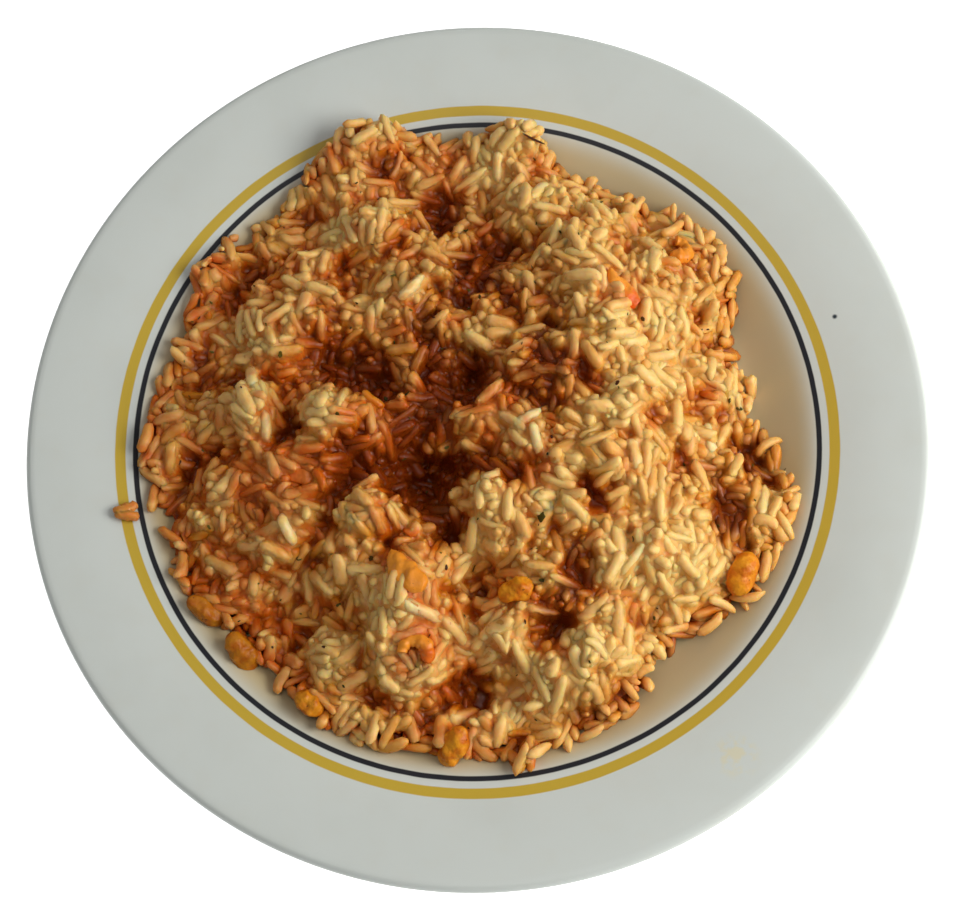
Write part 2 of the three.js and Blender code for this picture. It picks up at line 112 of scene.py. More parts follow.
class Wire:
    # An output socket of a material, or only its node tree. Arithmetic on it adds Math nodes.
    def __init__(self, tree, socket=None):
        self.tree = tree
        self.socket = socket

    def add(self, kind, settings=None, values=None, output=0):
        # A node of a kind: its settings first, then its inputs by name or number, then one output.
        node = self.tree.nodes.new(kind)
        for key, setting in (settings or {}).items():
            setattr(node, key, setting)
        for key, value in (values or {}).items():
            if isinstance(value, Wire):
                self.tree.links.new(value.socket, node.inputs[key])
            else:
                node.inputs[key].default_value = value
        return Wire(self.tree, node.outputs[output])

    def math(self, operation, *parts):
        return self.add("ShaderNodeMath", {"operation": operation}, dict(enumerate(parts)))

    def clamped(self):
        return self.add("ShaderNodeMath", {"operation": "ADD", "use_clamp": True}, {0: self, 1: 0.0})

    def __add__(self, other):
        return self.math("ADD", self, other)

    def __radd__(self, other):
        return self.math("ADD", other, self)

    def __sub__(self, other):
        return self.math("SUBTRACT", self, other)

    def __rsub__(self, other):
        return self.math("SUBTRACT", other, self)

    def __mul__(self, other):
        return self.math("MULTIPLY", self, other)

    def mix(self, colourA, colourB):
        # This value as the share of colour B over colour A.
        settings = {"data_type": "RGBA", "clamp_factor": True}
        return self.add("ShaderNodeMix", settings, {0: self, 6: colourA, 7: colourB}, 2)

    def noise(self, size, detail=2.0, shift=0.0):
        # Noise over the piece from 0 to 1, with bumps of about `size` millimetres.
        place = self.add("ShaderNodeTexCoord", output="Object")
        away = (shift, 0.3 * shift, 0)
        moved = self.add("ShaderNodeVectorMath", {"operation": "ADD"}, {0: place, 1: away})
        values = {"Vector": moved, "Scale": 1 / (size * mm), "Detail": detail}
        return self.add("ShaderNodeTexNoise", {}, values)

    def value(self, name):
        return self.add("ShaderNodeAttribute", {"attribute_name": name}, output="Fac")

    def step(self, low, high):
        # 0 below low, 1 above high, smooth between.
        values = {"Value": self, "From Min": low, "From Max": high}
        return self.add("ShaderNodeMapRange", {"interpolation_type": "SMOOTHSTEP"}, values)


def colour(red, green, blue):
    # A colour given as it looks on a screen, 0 to 255, as the linear colour that a node takes.
    shares = np.array([red, green, blue]) / 255
    linear = np.where(shares > 0.04045, ((shares + 0.055) / 1.055) ** 2.4, shares / 12.92)
    return (*linear.tolist(), 1.0)


def newFinish(name, fixed):
    # An empty material with a Principled shader whose even values are set, and its tree.
    material = bpy.data.materials.new(name)
    material.use_nodes = True
    tree = material.node_tree
    tree.nodes.clear()
    shader = tree.nodes.new("ShaderNodeBsdfPrincipled")
    output = tree.nodes.new("ShaderNodeOutputMaterial")
    tree.links.new(shader.outputs["BSDF"], output.inputs["Surface"])
    for key, value in fixed.items():
        shader.inputs[key].default_value = value
    return material, Wire(tree), shader


def feed(tree, shader, inputs):
    for key, wire in inputs.items():
        tree.tree.links.new(wire.socket, shader.inputs[key])


def bump(tree, height, depth, strength=1.0):
    # A relief in the finish, `depth` millimetres deep where height goes from 0 to 1.
    return tree.add("ShaderNodeBump", {}, {"Height": height, "Distance": depth * mm, "Strength": strength})


plateForm = {
    "radius": 120.0, "floorZ": 7.5, "floorRadius": 74.0, "shoulderZ": 16.4, "shoulderRadius": 92.5,
    "lipZ": 23.6, "rimSwell": 0.5, "rimThickness": 3.8, "floorThickness": 4.6,
    "footInner": 58.0, "footOuter": 64.0, "footFlare": 1.6, "footRound": 0.55, "footGap": 3.5,
    "underRun": 14, "lipJoin": 1, "lipTurn": (-np.pi / 2 + 0.2, np.pi / 2 - 0.1, 11),
    "topRings": (73, 60), "floorRings": (70, 6, 12), "underRings": (6, 52, 8), "segments": 288,
}
plateFinish = {
    "white": (212, 218, 213), "warmBounceWhite": (202, 190, 156), "navy": (2, 3, 22), "yellow": (200, 167, 38),
    "film": (198, 176, 126), "sauceAndShadeReach": 8.0, "sauceAndShadeShare": 0.75, "well": (86, 94),
    "cloud": (184, 189, 180), "cloudShare": 0.12, "unevenness": 0.22,
    "navyRadius": 91.9, "navyWidth": 1.35, "yellowRadius": 95.75, "yellowWidth": 2.7, "softness": 0.16,
    "smear": (224, 214, 170), "smearPlace": (65.5, -87.0), "smearReach": 7, "smearShare": 0.55,
    "speck": (40, 52, 60), "speckPlace": (97.5, 30.5), "speckReach": 0.9,
}


def plateTop(r):
    # Height of the plate's upper face at radius r: flat floor, cubic wall, then a straight swelling rim.
    form = plateForm
    rimRun = form["radius"] - form["shoulderRadius"]
    rimSlope = (form["lipZ"] - form["shoulderZ"]) / rimRun
    wallRun = form["shoulderRadius"] - form["floorRadius"]
    t = np.clip((r - form["floorRadius"]) / wallRun, 0, 1)
    wall = hermite(t, form["floorZ"], 0, form["shoulderZ"], rimSlope * wallRun)
    s = np.clip((r - form["shoulderRadius"]) / rimRun, 0, 1)
    return wall + rimSlope * rimRun * s + form["rimSwell"] * np.sin(np.pi * s)


def plateProfile():
    # The section from the axis under the floor, round foot, rim and lip, and back to the axis on top.
    form = plateForm
    lip = form["rimThickness"] / 2
    lipRadius = form["radius"] - lip
    under = form["floorZ"] - form["floorThickness"]
    turn = np.linspace(0, np.pi, 9)
    footMiddle = (form["footInner"] + form["footOuter"]) / 2
    footHalf = (form["footOuter"] - form["footInner"]) / 2
    footR = footMiddle - (footHalf + form["footFlare"] * (1 - np.sin(turn)) ** 2) * np.cos(turn)
    footZ = under * (1 - np.sin(turn) ** form["footRound"])
    wallR = np.linspace(form["footOuter"] + form["footGap"], lipRadius - form["lipJoin"], 30)
    blend = np.clip((wallR - form["footOuter"] - form["footGap"]) / form["underRun"], 0, 1)
    blend = blend * blend * (3 - 2 * blend)
    wallZ = under + (plateTop(wallR) - form["rimThickness"] - under) * blend
    lipTurn = np.linspace(*form["lipTurn"])
    lipR = lipRadius + lip * np.cos(lipTurn)
    lipZ = plateTop(lipRadius) - lip + lip * np.sin(lipTurn)
    topR = np.linspace(lipRadius - form["lipJoin"], *form["topRings"])
    topR = np.concatenate([topR, np.linspace(*form["floorRings"])])
    underR = np.linspace(*form["underRings"])
    radii = np.concatenate([underR, footR, wallR, lipR, topR])
    heights = np.concatenate([np.full(len(underR), under), footZ, wallZ, lipZ, plateTop(topR)])
    return radii, heights, under


def buildPlate():
    # The section turned about the axis. Its sauce film, which is partly painted warm bounce light and
    # painted shade from the heap, fades away from the heap's outline.
    radii, heights, under = plateProfile()
    angle = np.linspace(0, tau, plateForm["segments"], endpoint=False)
    rings = np.stack([
        radii[:, None] * np.cos(angle), radii[:, None] * np.sin(angle), heights[:, None] + 0 * angle,
    ], -1)
    points = np.concatenate([[[0, 0, under]], rings.reshape(-1, 3), [[0, 0, plateForm["floorZ"]]]])
    x, y, z = points.T
    away = np.maximum(np.hypot(x, y) - outlineRadius(np.arctan2(y, x)), 0)
    film = np.where(z > plateForm["floorZ"] - 0.1, np.exp(-away / plateFinish["sauceAndShadeReach"]), 0)
    faces = tubeFaces(len(radii), len(angle))
    addPiece("plateGlazed", points, faces, makeGlaze(), ["plate"], {"film": film})


def makeGlaze():
    # White glaze, two painted rings by distance from the axis, a smear, a speck and faint unevenness, with
    # painted warm bounce light and shade inside the well and near the heap.
    look = plateFinish
    material, tree, shader = newFinish("glazedChina", {
        "Specular IOR Level": 0.18, "Coat Weight": 0.05, "Coat Roughness": 0.25, "IOR": 1.5,
    })
    place = tree.add("ShaderNodeTexCoord", output="Object")
    flat = tree.add("ShaderNodeVectorMath", {"operation": "MULTIPLY"}, {0: place, 1: (1 / mm, 1 / mm, 0)})
    radius = tree.add("ShaderNodeVectorMath", {"operation": "LENGTH"}, {0: flat}, "Value")
    shake = (tree.noise(9, 2, 1.0) - 0.5) * look["unevenness"]

    def band(middle, width):
        away = tree.math("ABSOLUTE", radius + shake - middle)
        return 1 - away.step(width / 2 - look["softness"], width / 2 + look["softness"])

    def spot(where, reach):
        ends = {0: flat, 1: (*where, 0)}
        gap = tree.add("ShaderNodeVectorMath", {"operation": "DISTANCE"}, ends, "Value")
        return 1 - gap.step(reach * 0.3, reach)

    # Painted warm bounce light and shade from the rice: the glaze inside the well is tinted warm.
    inside = 1 - radius.step(*look["well"])
    paint = inside.mix(colour(*look["white"]), colour(*look["warmBounceWhite"]))
    cloud = tree.noise(26, 3, 4.0).step(0.4, 0.7) * look["cloudShare"]
    paint = cloud.mix(paint, colour(*look["cloud"]))
    # A sauce film near the heap that also stands for painted warm bounce light and painted shade from the
    # heap.
    film = tree.value("film") * inside * look["sauceAndShadeShare"] + (tree.noise(7, 3, 5.0) - 0.5) * 0.15
    film = film.clamped()
    paint = film.mix(paint, colour(*look["film"]))
    streak = spot(look["smearPlace"], look["smearReach"]) * tree.noise(2.6, 3, 7.0).step(0.42, 0.62)
    paint = (streak * look["smearShare"]).mix(paint, colour(*look["smear"]))
    paint = spot(look["speckPlace"], look["speckReach"]).mix(paint, colour(*look["speck"]))
    paint = (band(look["yellowRadius"], look["yellowWidth"]) * 0.96).mix(paint, colour(*look["yellow"]))
    paint = (band(look["navyRadius"], look["navyWidth"]) * 0.97).mix(paint, colour(*look["navy"]))
    feed(tree, shader, {
        "Base Color": paint,
        "Roughness": 0.3 + tree.noise(18, 3, 2.0) * 0.12,
        "Normal": bump(tree, tree.noise(14, 2, 3.0), 0.05, 0.5),
    })
    return material


heapForm = {
    "edgeThickness": 5.0, "crownThickness": 23.5, "shoulderPower": 3.0, "sideSlope": 4.5,
    "rippleHeight": 0.5, "rippleX": (0.43, 2.1, 0.17, 0.6), "rippleY": (0.39, 1.9, 0.21, 2.2),
    "outline": (
        79, 75.5, 74.5, 83, 86, 84, 80.5, 79.5, 89, 86.5, 89, 94, 90.5, 85.5, 88.5, 90.5, 86.3, 88,
        89.3, 89.5, 86.8, 87.5, 83, 84, 85.5, 87.3, 85.5, 86, 88.5, 85.5, 84, 77, 80, 86, 85.8, 87,
    ),  # radius every 10 degrees, turning left from +X
    "clumps": (
        (31, 52, 20, 7), (30, 27, 20, 7), (32, 2, 19, 6), (38, -22, 18, 6), (36, -46, 15, 5),
        (24, -67, 11, 5), (58, 40, 12, 4), (62, 12, 11, 3), (72, -26, 9, 4), (12, 84, 10, 9),
        (-30, 83, 14, 5), (-31, 56, 9, 6), (-14, 39, 8, 4), (-64, 34, 13, 3), (-59, 7, 9, 7),
        (-36, 1, 8, 6), (-28, -26, 9, 7), (-50, -28, 9, 4), (-70, -14, 10, 3), (-17, -45, 9, 9),
        (-15, -66, 10, 7), (7, -24, 8, 5), (8, -57, 7, 5), (-13, -13, 10, -15), (-6, -30, 6, -8),
        (-1, 14, 8, -8), (-38, 18, 8, -7), (-24, 13, 8, -6), (-9, 61, 9, -7), (6, 49, 11, -5),
        (1, -70, 6, -10), (20, -54, 6, -6), (-50, -2, 5, -3), (3, -42, 6, -6), (58, -10, 6, -3),
    ),  # x, y, radius, rise
}


def outlineRadius(angle):
    # The outline's radius in a direction: a cubic through the listed radii.
    radii = np.array(heapForm["outline"])
    place = np.mod(angle / tau, 1) * len(radii)
    i = np.floor(place).astype(int)
    a, b, c, d = (radii[(i + k) % len(radii)] for k in (-1, 0, 1, 2))
    return hermite(place - i, b, (c - a) / 2, c, (d - b) / 2)


def ripple(u, v, pitch, sway, swayPitch, phase):
    # A sine wave along u whose crests sway along v.
    return np.sin(pitch * u + sway * np.sin(swayPitch * v + phase))


def riceTop(x, y):
    # Height of the heap's smooth form: edge thickness, dome, clumps and ripples over the plate.
    form = heapForm
    r = np.hypot(x, y)
    edge = outlineRadius(np.arctan2(y, x))
    dome = 1 - (r / edge) ** form["shoulderPower"]
    z = plateTop(r) + form["edgeThickness"] + (form["crownThickness"] - form["edgeThickness"]) * dome
    for cx, cy, reach, rise in form["clumps"]:
        z = z + rise * bell(x, y, cx, cy, reach)
    a, b = ripple(x, y, *form["rippleX"]), ripple(y, x, *form["rippleY"])
    return z + form["rippleHeight"] * a * b - form["sideSlope"] * np.maximum(0, r - edge)


lumps = {
    "count": 190, "rise": 1.0, "tilt": 0.26, "round": 20.0, "shift": 0.2, "fineSize": 7.5,
    "fineHeight": 0.9, "spread": 98, "spacing": 13, "spacingRounds": 12, "spacingShare": 0.5,
    "knollHeight": 0.65, "knollPaintedLight": 0.06, "pocketDepth": 1.0, "pocketPaintedShade": 0.15,
    "uneven": 0.4, "unevenSize": 6.0, "calmed": 0.55, "frontBoldness": 0.004,
    "reach": 104.0, "step": 0.5, "lowest": -9.0, "least": -7.0, "most": 5.0, "highest": 39.2,
    "edgeReach": 9, "edgeShare": 0.25, "seafoodReach": 7.0,
    "laying": 1.5, "near": 5.0, "far": 15.0, "nearRise": 9, "farRise": 30,
    "knolls": (
        (-31, 58, 6, 3), (-23, 61, 5, 1.5), (-35, 71, 4, 1), (-43, 48, 5, 2), (-43, 37, 4, 1),
        (-60, 31, 5, 1.5), (-14, 51, 5, 1.5), (-12, 44, 4, 1), (-13, 87, 4, 1), (11, 88, 6, 2),
        (16, 31, 4, 2), (26, 62, 4, 1.5), (34, 54, 5, 1), (53, 37, 5, 2), (44, 16, 6, 2),
        (55, 26, 5, 1.5), (27, 17, 4, 2), (66, 27, 5, 1), (-59, 9, 5, 3), (-56, -1, 4.5, 2.5),
        (-40, 1, 6, 3), (-25, -2, 5, 2), (-27, -25, 6, 3), (-48, -30, 4, 2), (12, 16, 5, 2),
        (-16, 19, 5, 1.5), (13, -3, 5, 1.5), (39, 2, 5, 2), (32, -8, 4, 1.5), (4, -22, 5, 3),
        (26, -16, 5, 2), (41, -12, 4, 2), (53, -2, 4, 1.5), (70, -13, 4, 1.5), (76, -21, 5, 2),
        (58, -31, 6, 1.5), (36, -34, 5, 1.5), (40, -40, 4, 1), (-61, -43, 5, 1.5), (-19, -50, 6, 2),
        (-36, -57, 7, 1.5), (-18, -70, 7, 2), (-30, -78, 5, 1), (8, -57, 6, 2), (28, -62, 5, 2),
        (20, -71, 5, 2), (40, -61, 6, 2), (62, -5, 4, 1), (-53, 20, 4, 1), (-74, 0, 6, 1),
        (-72, -22, 6, 1), (2, -79, 5, 1.5),
    ),  # x, y, reach, rise
    "pockets": (
        (-58, 47, 3, 3), (-48, 63, 4, 2), (-22, 51, 4, 3), (-36, 31, 4, 2), (-39, 76, 3, 2),
        (-10, 67, 6, 4), (6, 52, 4, 2), (15, 54, 3, 2), (-3, 37, 5, 3), (10, 32, 4, 3),
        (-17, 41, 3, 2), (-9, 58, 3, 2), (18, 75, 3, 2), (59, 30, 2.5, 2), (66, 23, 2.5, 1.5),
        (30, 11, 5, 2), (46, 58, 3, 2), (60, 9, 4, 2.5), (-38, 17, 7, 4), (-26, 13, 6, 4),
        (-50, -2, 4, 4), (-43, -9, 4, 2.5), (-31, -18, 5, 3), (-21, -14, 6, 3), (-71, -10, 3, 1.5),
        (-54, -24, 3, 2), (-69, -29, 3, 1.5), (-66, 11, 3, 1.5), (0, 14, 6, 4), (-6, 6, 5, 3),
        (-13, -18, 7, 1), (-3, -13, 6, 2), (17, 18, 3, 2.5), (22, 5, 4, 2.5), (14, -14, 4, 2),
        (31, -19, 4, 2.5), (21, -31, 3, 2.5), (45, 0, 3, 2.5), (65, 3, 3, 2), (65, -23, 5, 2.5),
        (29, -35, 4, 2), (73, -35, 3, 2), (-70, -44, 4, 2.5), (-58, -55, 4, 2), (-34, -48, 4, 2),
        (-38, -37, 4, 1.5), (-28, -63, 4, 1.5), (-12, -77, 4, 2), (-2, -68.5, 4.5, 6), (-7, -46, 4, 4),
        (8, -41, 4, 1.5), (20, -52, 5, 2), (24, -36, 3, 2), (19, -63, 5, 1.5), (27, -45, 4, 2),
        (34, -60, 3, 2), (42, -52, 3, 2), (12, -81, 3, 1), (-12, -56, 3, 2),
    ),  # x, y, reach, depth
    "tones": (
        (-24.6, 78, 6, -0.9), (-39, 57, 5, 1.4), (-17, 57, 5, -0.6), (5, 74, 6, 1.0), (1, 44, 9, -0.8),
        (-12, 45, 5, -0.5), (-14, 26, 8, -0.9), (-8.5, 5, 9, -0.7), (-18, 0, 7, -0.9),
        (-30, 15, 9, -0.4), (-43, 27, 8, -0.6), (-30, -3, 8, -0.9), (-36, -14, 8, -0.9),
        (-20, -18.5, 7.5, -0.9), (-23, -29, 6, -0.8), (-8.5, -25, 6, -0.6), (8, -15.5, 6, -0.5),
        (16, 12, 8, -0.8), (29, 9, 5, -0.5), (48, 1, 5, -0.4), (38, -12, 7, -0.8), (53, -24, 7, -0.3),
        (-75, 22, 5, -0.5), (15, -50, 5, -0.5), (26, -43, 7, -0.7), (15.5, 33.5, 7, -0.4),
        (-16, -81, 5, -0.4), (31, -70, 6, -0.7), (68, -25, 7, -0.8), (-47, -66, 5, -0.4),
        (31, -22, 5, -0.6), (-27, 34, 6, 0.7), (-65, 26, 7, 1), (20, -22, 6, 1), (-1, -34, 6, 1),
        (46, -36, 10, 1.6), (62, -40, 7, 1), (1, -58, 6, 1.1), (16, -71, 8, 1.7), (-40, -58, 6, 0.8),
        (-48, -46, 7, 0.6), (-22, -53, 7, 1.4), (-32, -82, 5, 0.7), (30, 71, 6, 0.4), (49, 59, 6, 0.6),
        (38, -1, 6, 1.0), (-17, 75, 4, 0.7), (51, 18, 9, 0.7), (48, 28, 6, 0.8), (76, 14, 9, 0.7),
        (0.5, -45, 6, 0.5), (-9, 17, 6, -0.4), (25, 18, 7, -0.5), (57, 46, 5, -0.4),
        (70, -11, 6, -0.7), (9, -75, 5, 1), (31, -57, 6, 0.7), (15, -8, 5, 0.4), (-39, -76, 5, -0.5),
        (-8, -33, 5, -0.8), (39, 8, 4, 0.4), (0, 2, 5, -0.4), (60, 56, 5, 0.6), (-56, -21, 5, -0.4),
        (0.5, 10, 3.5, -0.6), (-11, -17.5, 4, -0.6), (0, -12, 5, -0.4), (-47, -36, 5, -0.5),
        (12, -83, 5, -0.7), (-16, 15, 6, -0.4), (22, -47, 5, -0.4), (45, -33, 6, 0.6),
        (45, -60, 5, 0.6), (23, -14, 4, 0.5), (-57, 22, 5, 0.7), (4, 80, 5, 1.0),
    ),  # x, y, reach, and how much higher and paler with painted light, or deeper and darker with painted shade below 0
    "toneHeight": 2.2, "paintedToneShare": 0.8,
}


def lumpRelief(x, y):
    # The highest of many low domes, each with its own middle, height and tilt, so creases lie between.
    random = np.random.default_rng(14)
    relief = np.full(x.shape, lumps["lowest"])
    middles = random.uniform(-lumps["spread"], lumps["spread"], (lumps["count"], 2))
    spacing = lumps["spacing"]
    for _ in range(lumps["spacingRounds"]):
        gap = middles[:, None] - middles[None]
        away = np.linalg.norm(gap, axis=-1) + 99 * np.eye(len(middles))
        push = np.clip(spacing - away, 0, spacing) / (2 * spacing)
        middles += (gap / away[..., None] * push[..., None]).sum(1) * lumps["spacingShare"]
    for middle in middles:
        dx, dy = x - middle[0], y - middle[1]
        tiltX, tiltY, rise = random.normal(size=3) * (lumps["tilt"], lumps["tilt"], lumps["rise"])
        dome = rise + tiltX * dx + tiltY * dy - (dx * dx + dy * dy) / lumps["round"]
        relief = np.maximum(relief, dome)
    return relief + lumps["shift"]


def blurred(grid, reach):
    # A grid smoothed by a Gaussian of the given reach in steps, through its spectrum.
    waves = np.fft.rfft2(grid)
    u, v = np.fft.fftfreq(grid.shape[0])[:, None], np.fft.rfftfreq(grid.shape[1])[None, :]
    return np.fft.irfft2(waves * np.exp(-2 * (np.pi * reach) ** 2 * (u * u + v * v)), grid.shape)


class HeightField:
    # The heap's height on a grid: its smooth form, broken into lumps with creases between them.
    def __init__(self):
        line = np.arange(-lumps["reach"], lumps["reach"] + lumps["step"], lumps["step"])
        x, y = np.meshgrid(line, line, indexing="ij")
        flat = np.stack([x, y], -1)
        relief = lumpRelief(x, y) + lumps["fineHeight"] * wobble(flat, lumps["fineSize"], 6)
        inward = outlineRadius(np.arctan2(y, x)) - np.hypot(x, y)
        inside = np.clip(inward / lumps["edgeReach"], lumps["edgeShare"], 1)
        uneven = 1 + lumps["uneven"] * wobble(flat, lumps["unevenSize"], 16)
        known = np.zeros_like(x)
        placed = np.zeros_like(x)
        # Painted light and shade: paler on knolls and listed bright places, darker in pockets and listed
        # dark places.
        self.tone = np.zeros_like(x)
        for places, height, tone in (
            (lumps["knolls"], lumps["knollHeight"], lumps["knollPaintedLight"]),
            (lumps["pockets"], -lumps["pocketDepth"], -lumps["pocketPaintedShade"]),
        ):
            for cx, cy, reach, size in places:
                near = bell(x, y, cx, cy, reach)
                placed = placed + height * size * near * uneven
                self.tone += tone * size * near
                known = np.maximum(known, near)
        lifted = np.zeros_like(x)
        # The listed places: painted light above 0 and painted shade below 0, with the heap raised or lowered
        # along with them.
        for cx, cy, reach, amount in lumps["tones"]:
            near = amount * bell(x, y, cx, cy, reach)
            self.tone += near
            lifted += lumps["toneHeight"] * near
        bold = 1 - lumps["frontBoldness"] * y
        relief = relief * (1 - lumps["calmed"] * known) * bold + placed + lifted
        for piece in seafood:
            inside = inside * (1 - bell(x, y, piece[2], piece[3], lumps["seafoodReach"]))
        raised = riceTop(x, y) + inside * np.clip(relief, lumps["least"], lumps["most"])
        self.z = np.minimum(raised, lumps["highest"])
        self.slopeX, self.slopeY = np.gradient(self.z, lumps["step"])
        self.laying = blurred(self.z, lumps["laying"] / lumps["step"])
        covered = np.maximum(self.z, plateTop(np.hypot(x, y)))
        self.around = blurred(covered, lumps["near"] / lumps["step"])
        self.aroundFar = blurred(covered, lumps["far"] / lumps["step"])

    def read(self, grid, x, y):
        u = np.clip((x + lumps["reach"]) / lumps["step"], 0, len(self.z) - 2.001)
        v = np.clip((y + lumps["reach"]) / lumps["step"], 0, len(self.z) - 2.001)
        i, j = u.astype(int), v.astype(int)
        u, v = u - i, v - j
        low = grid[i, j] * (1 - v) + grid[i, j + 1] * v
        high = grid[i + 1, j] * (1 - v) + grid[i + 1, j + 1] * v
        return low * (1 - u) + high * u

    def at(self, x, y):
        return self.read(self.z, x, y)

    def rise(self, x, y, z):
        # How far a point stands over the heap's mean height, near and far round it, with the listed painted
        # light and shade added, -1 to 1. The finish paints crowns paler and hollows darker from it.
        near, far = self.read(self.around, x, y), self.read(self.aroundFar, x, y)
        tone = lumps["paintedToneShare"] * self.read(self.tone, x, y)
        return np.clip((z - near) / lumps["nearRise"] + (z - far) / lumps["farRise"] + tone, -1, 1)

    def normal(self, x, y):
        slopes = self.read(self.slopeX, x, y), self.read(self.slopeY, x, y)
        return unit(np.stack([-slopes[0], -slopes[1], np.ones_like(x)], -1))


# The pieces of seafood: name, form, x, y, turn in degrees, length, width, how far they stand out.
seafood = (
    ("prawn_curl_back", "curl", 55.5, 50, -130, 11, 4.8, 2.0),
    ("prawn_curl_front", "curl", -14.5, -62, -40, 11.0, 4.6, 1.6),
    ("prawn_tail_ridge", "tail", 40, 34.5, 126, 12.5, 5.6, 1.3),
    ("prawn_tail_middle", "tail", -16, -41, 130, 14.5, 7.0, 1.1),
    ("mussel_right", "mussel", 70, -40, 62, 12.0, 7.6, 3.4),
    ("mussel_front", "mussel", -5, -84, 52, 12.0, 7.2, 2.8),
    ("mussel_middle", "mussel", 11, -46, 12, 9.6, 6.4, 2.4),
    ("mussel_left", "mussel", -61, -59, -60, 12.0, 6.8, 2.8),
    ("clam_left", "mussel", -71, -48.5, -42, 11.5, 5.6, 2.4),
    ("clam_front", "mussel", -42.5, -73, -42, 8.4, 5.8, 2.4),
    ("squid_strip", "strip", -47, -13.5, -18, 13.0, 5.6, 0.6),
)
field = HeightField()


riceBed = {
    "inset": 4.0, "sink": 3.1, "gap": 0.25, "least": 0.3, "sides": 600, "rings": 145, "below": 12,
    "firstRing": 0.008, "ball": 1.05, "under": 0.75, "relief": 0.2, "reliefSize": 2.4,
    "depthReach": 6, "depthShift": 0.1, "paleness": 0.3, "riseMost": 0.25, "crease": 0.7,
    "spots": 11, "cells": 4,
}


def sauceLevel(grains):
    # Heights on the field's grid: the tops of the grains, where gaps too small for a ball are filled.
    step, reach = lumps["step"], lumps["reach"]
    share = np.linspace(-1, 1, riceBed["spots"])[None, :]
    spots = grains["centre"][:, None] + (share * grains["half"][:, None])[..., None] * grains["way"][:, None]
    spots = spots.reshape(-1, 3)
    radius = np.repeat(grains["radius"], share.size)
    u, v = (spots[:, 0] + reach) / step, (spots[:, 1] + reach) / step
    i, j = np.rint(u).astype(int), np.rint(v).astype(int)
    tops = np.full(field.z.shape, -99.0)
    cells = range(-riceBed["cells"], riceBed["cells"] + 1)
    for di in cells:
        for dj in cells:
            room = radius**2 - step**2 * ((i + di - u) ** 2 + (j + dj - v) ** 2)
            hit = room > 0
            np.maximum.at(tops, (i[hit] + di, j[hit] + dj), spots[hit, 2] + np.sqrt(room[hit]))
    ball = riceBed["ball"]
    disc = [(di, dj, ball**2 - step**2 * (di * di + dj * dj)) for di in cells for dj in cells]
    disc = [(di, dj, np.sqrt(room)) for di, dj, room in disc if room > 0]
    above = np.max([np.roll(tops, (di, dj), (0, 1)) + rise for di, dj, rise in disc], 0)
    return np.min([np.roll(above, (di, dj), (0, 1)) - rise for di, dj, rise in disc], 0)


filling = {
    "reach": 90, "step": 3.3, "shake": 1.2, "below": 2.2, "margin": 2.5, "flatness": 0.85, "clearance": 2.2,
    "radius": (1.35, 1.6), "halfLength": (3.0, 4.8), "brokenShare": 0.3, "pale": 0.5,
}


def fillBare(grains):
    # More grains, half sunk in the core, wherever none lies near the surface.
    random = np.random.default_rng(5)
    fill = filling
    line = np.arange(-fill["reach"], fill["reach"], fill["step"])
    shake = fill["shake"]
    x, y = (side.ravel() + random.uniform(-shake, shake, line.size**2) for side in np.meshgrid(line, line))
    surface = field.at(x, y)
    inside = np.hypot(x, y) < outlineRadius(np.arctan2(y, x)) - fill["margin"]
    bare = inside & (field.read(sauceLevel(grains), x, y) < surface - fill["below"])
    x, y, z = x[bare], y[bare], surface[bare] - riceBed["sink"]
    count = len(x)
    up = field.normal(x, y)
    way = random.normal(size=(count, 3))
    way = unit(way - fill["flatness"] * (way * up).sum(-1, keepdims=True) * up)
    radius = random.uniform(*fill["radius"], count)
    z = np.maximum(z, plateTop(np.hypot(x, y)) + fill["clearance"])
    more = {
        "centre": np.stack([x, y, z], -1), "way": way,
        "half": random.uniform(*fill["halfLength"], count) - radius, "radius": radius,
        "broken": random.random(count) < fill["brokenShare"], "pale": random.uniform(0, fill["pale"], count),
    }
    print("filled with", count, "grains")
    return {key: np.concatenate([grains[key], more[key]]) for key in grains}


def buildBed(grains, finish):
    # The sauce between and under the grains: just under their tops, and never deeper than the core.
    level = sauceLevel(grains)
    sides, rings = riceBed["sides"], riceBed["rings"]
    angle = np.linspace(0, tau, sides, endpoint=False)[None, :]
    reach = outlineRadius(angle) - riceBed["inset"]
    share = np.linspace(riceBed["firstRing"], 1, rings)[:, None]
    x, y = share * reach * np.cos(angle), share * reach * np.sin(angle)
    floor = plateTop(np.hypot(x, y)) + riceBed["gap"]
    relief = riceBed["relief"] * wobble(np.stack([x, y], -1), riceBed["reliefSize"], 4)
    height = field.read(level, x, y) - riceBed["under"] + relief
    height = np.maximum(height, field.at(x, y) - riceBed["sink"])
    top = np.stack([x, y, np.maximum(height, floor + riceBed["least"])], -1)
    rows = np.linspace(rings - 1, 0, riceBed["below"]).astype(int)
    below = np.stack([x, y, floor], -1)[rows]
    crown = [[0, 0, top[0, :, 2].mean()]]
    base = [[0, 0, plateForm["floorZ"] + riceBed["gap"]]]
    points = np.concatenate([crown, top.reshape(-1, 3), below.reshape(-1, 3), base])
    faces = [rows[:, ::-1] for rows in tubeFaces(rings + riceBed["below"], sides)]
    x, y, z = points.T
    # Painted shade on the bed between the grains: the depth shift and an even crease value darken it, and
    # riseMost limits the painted highlight on its crowns.
    depth = (field.at(x, y) - z) / riceBed["depthReach"] + riceBed["depthShift"]
    values = {
        "sauce": sauceAt(x, y) + stainAt(points), "pale": riceBed["paleness"] + paleAt(points),
        "depth": np.clip(depth, 0, 1), "rise": np.minimum(field.rise(x, y, z), riceBed["riseMost"]),
        "crease": 0 * x + riceBed["crease"],
    }
    addPiece("riceBed", points, faces, finish, ["rice"], values)


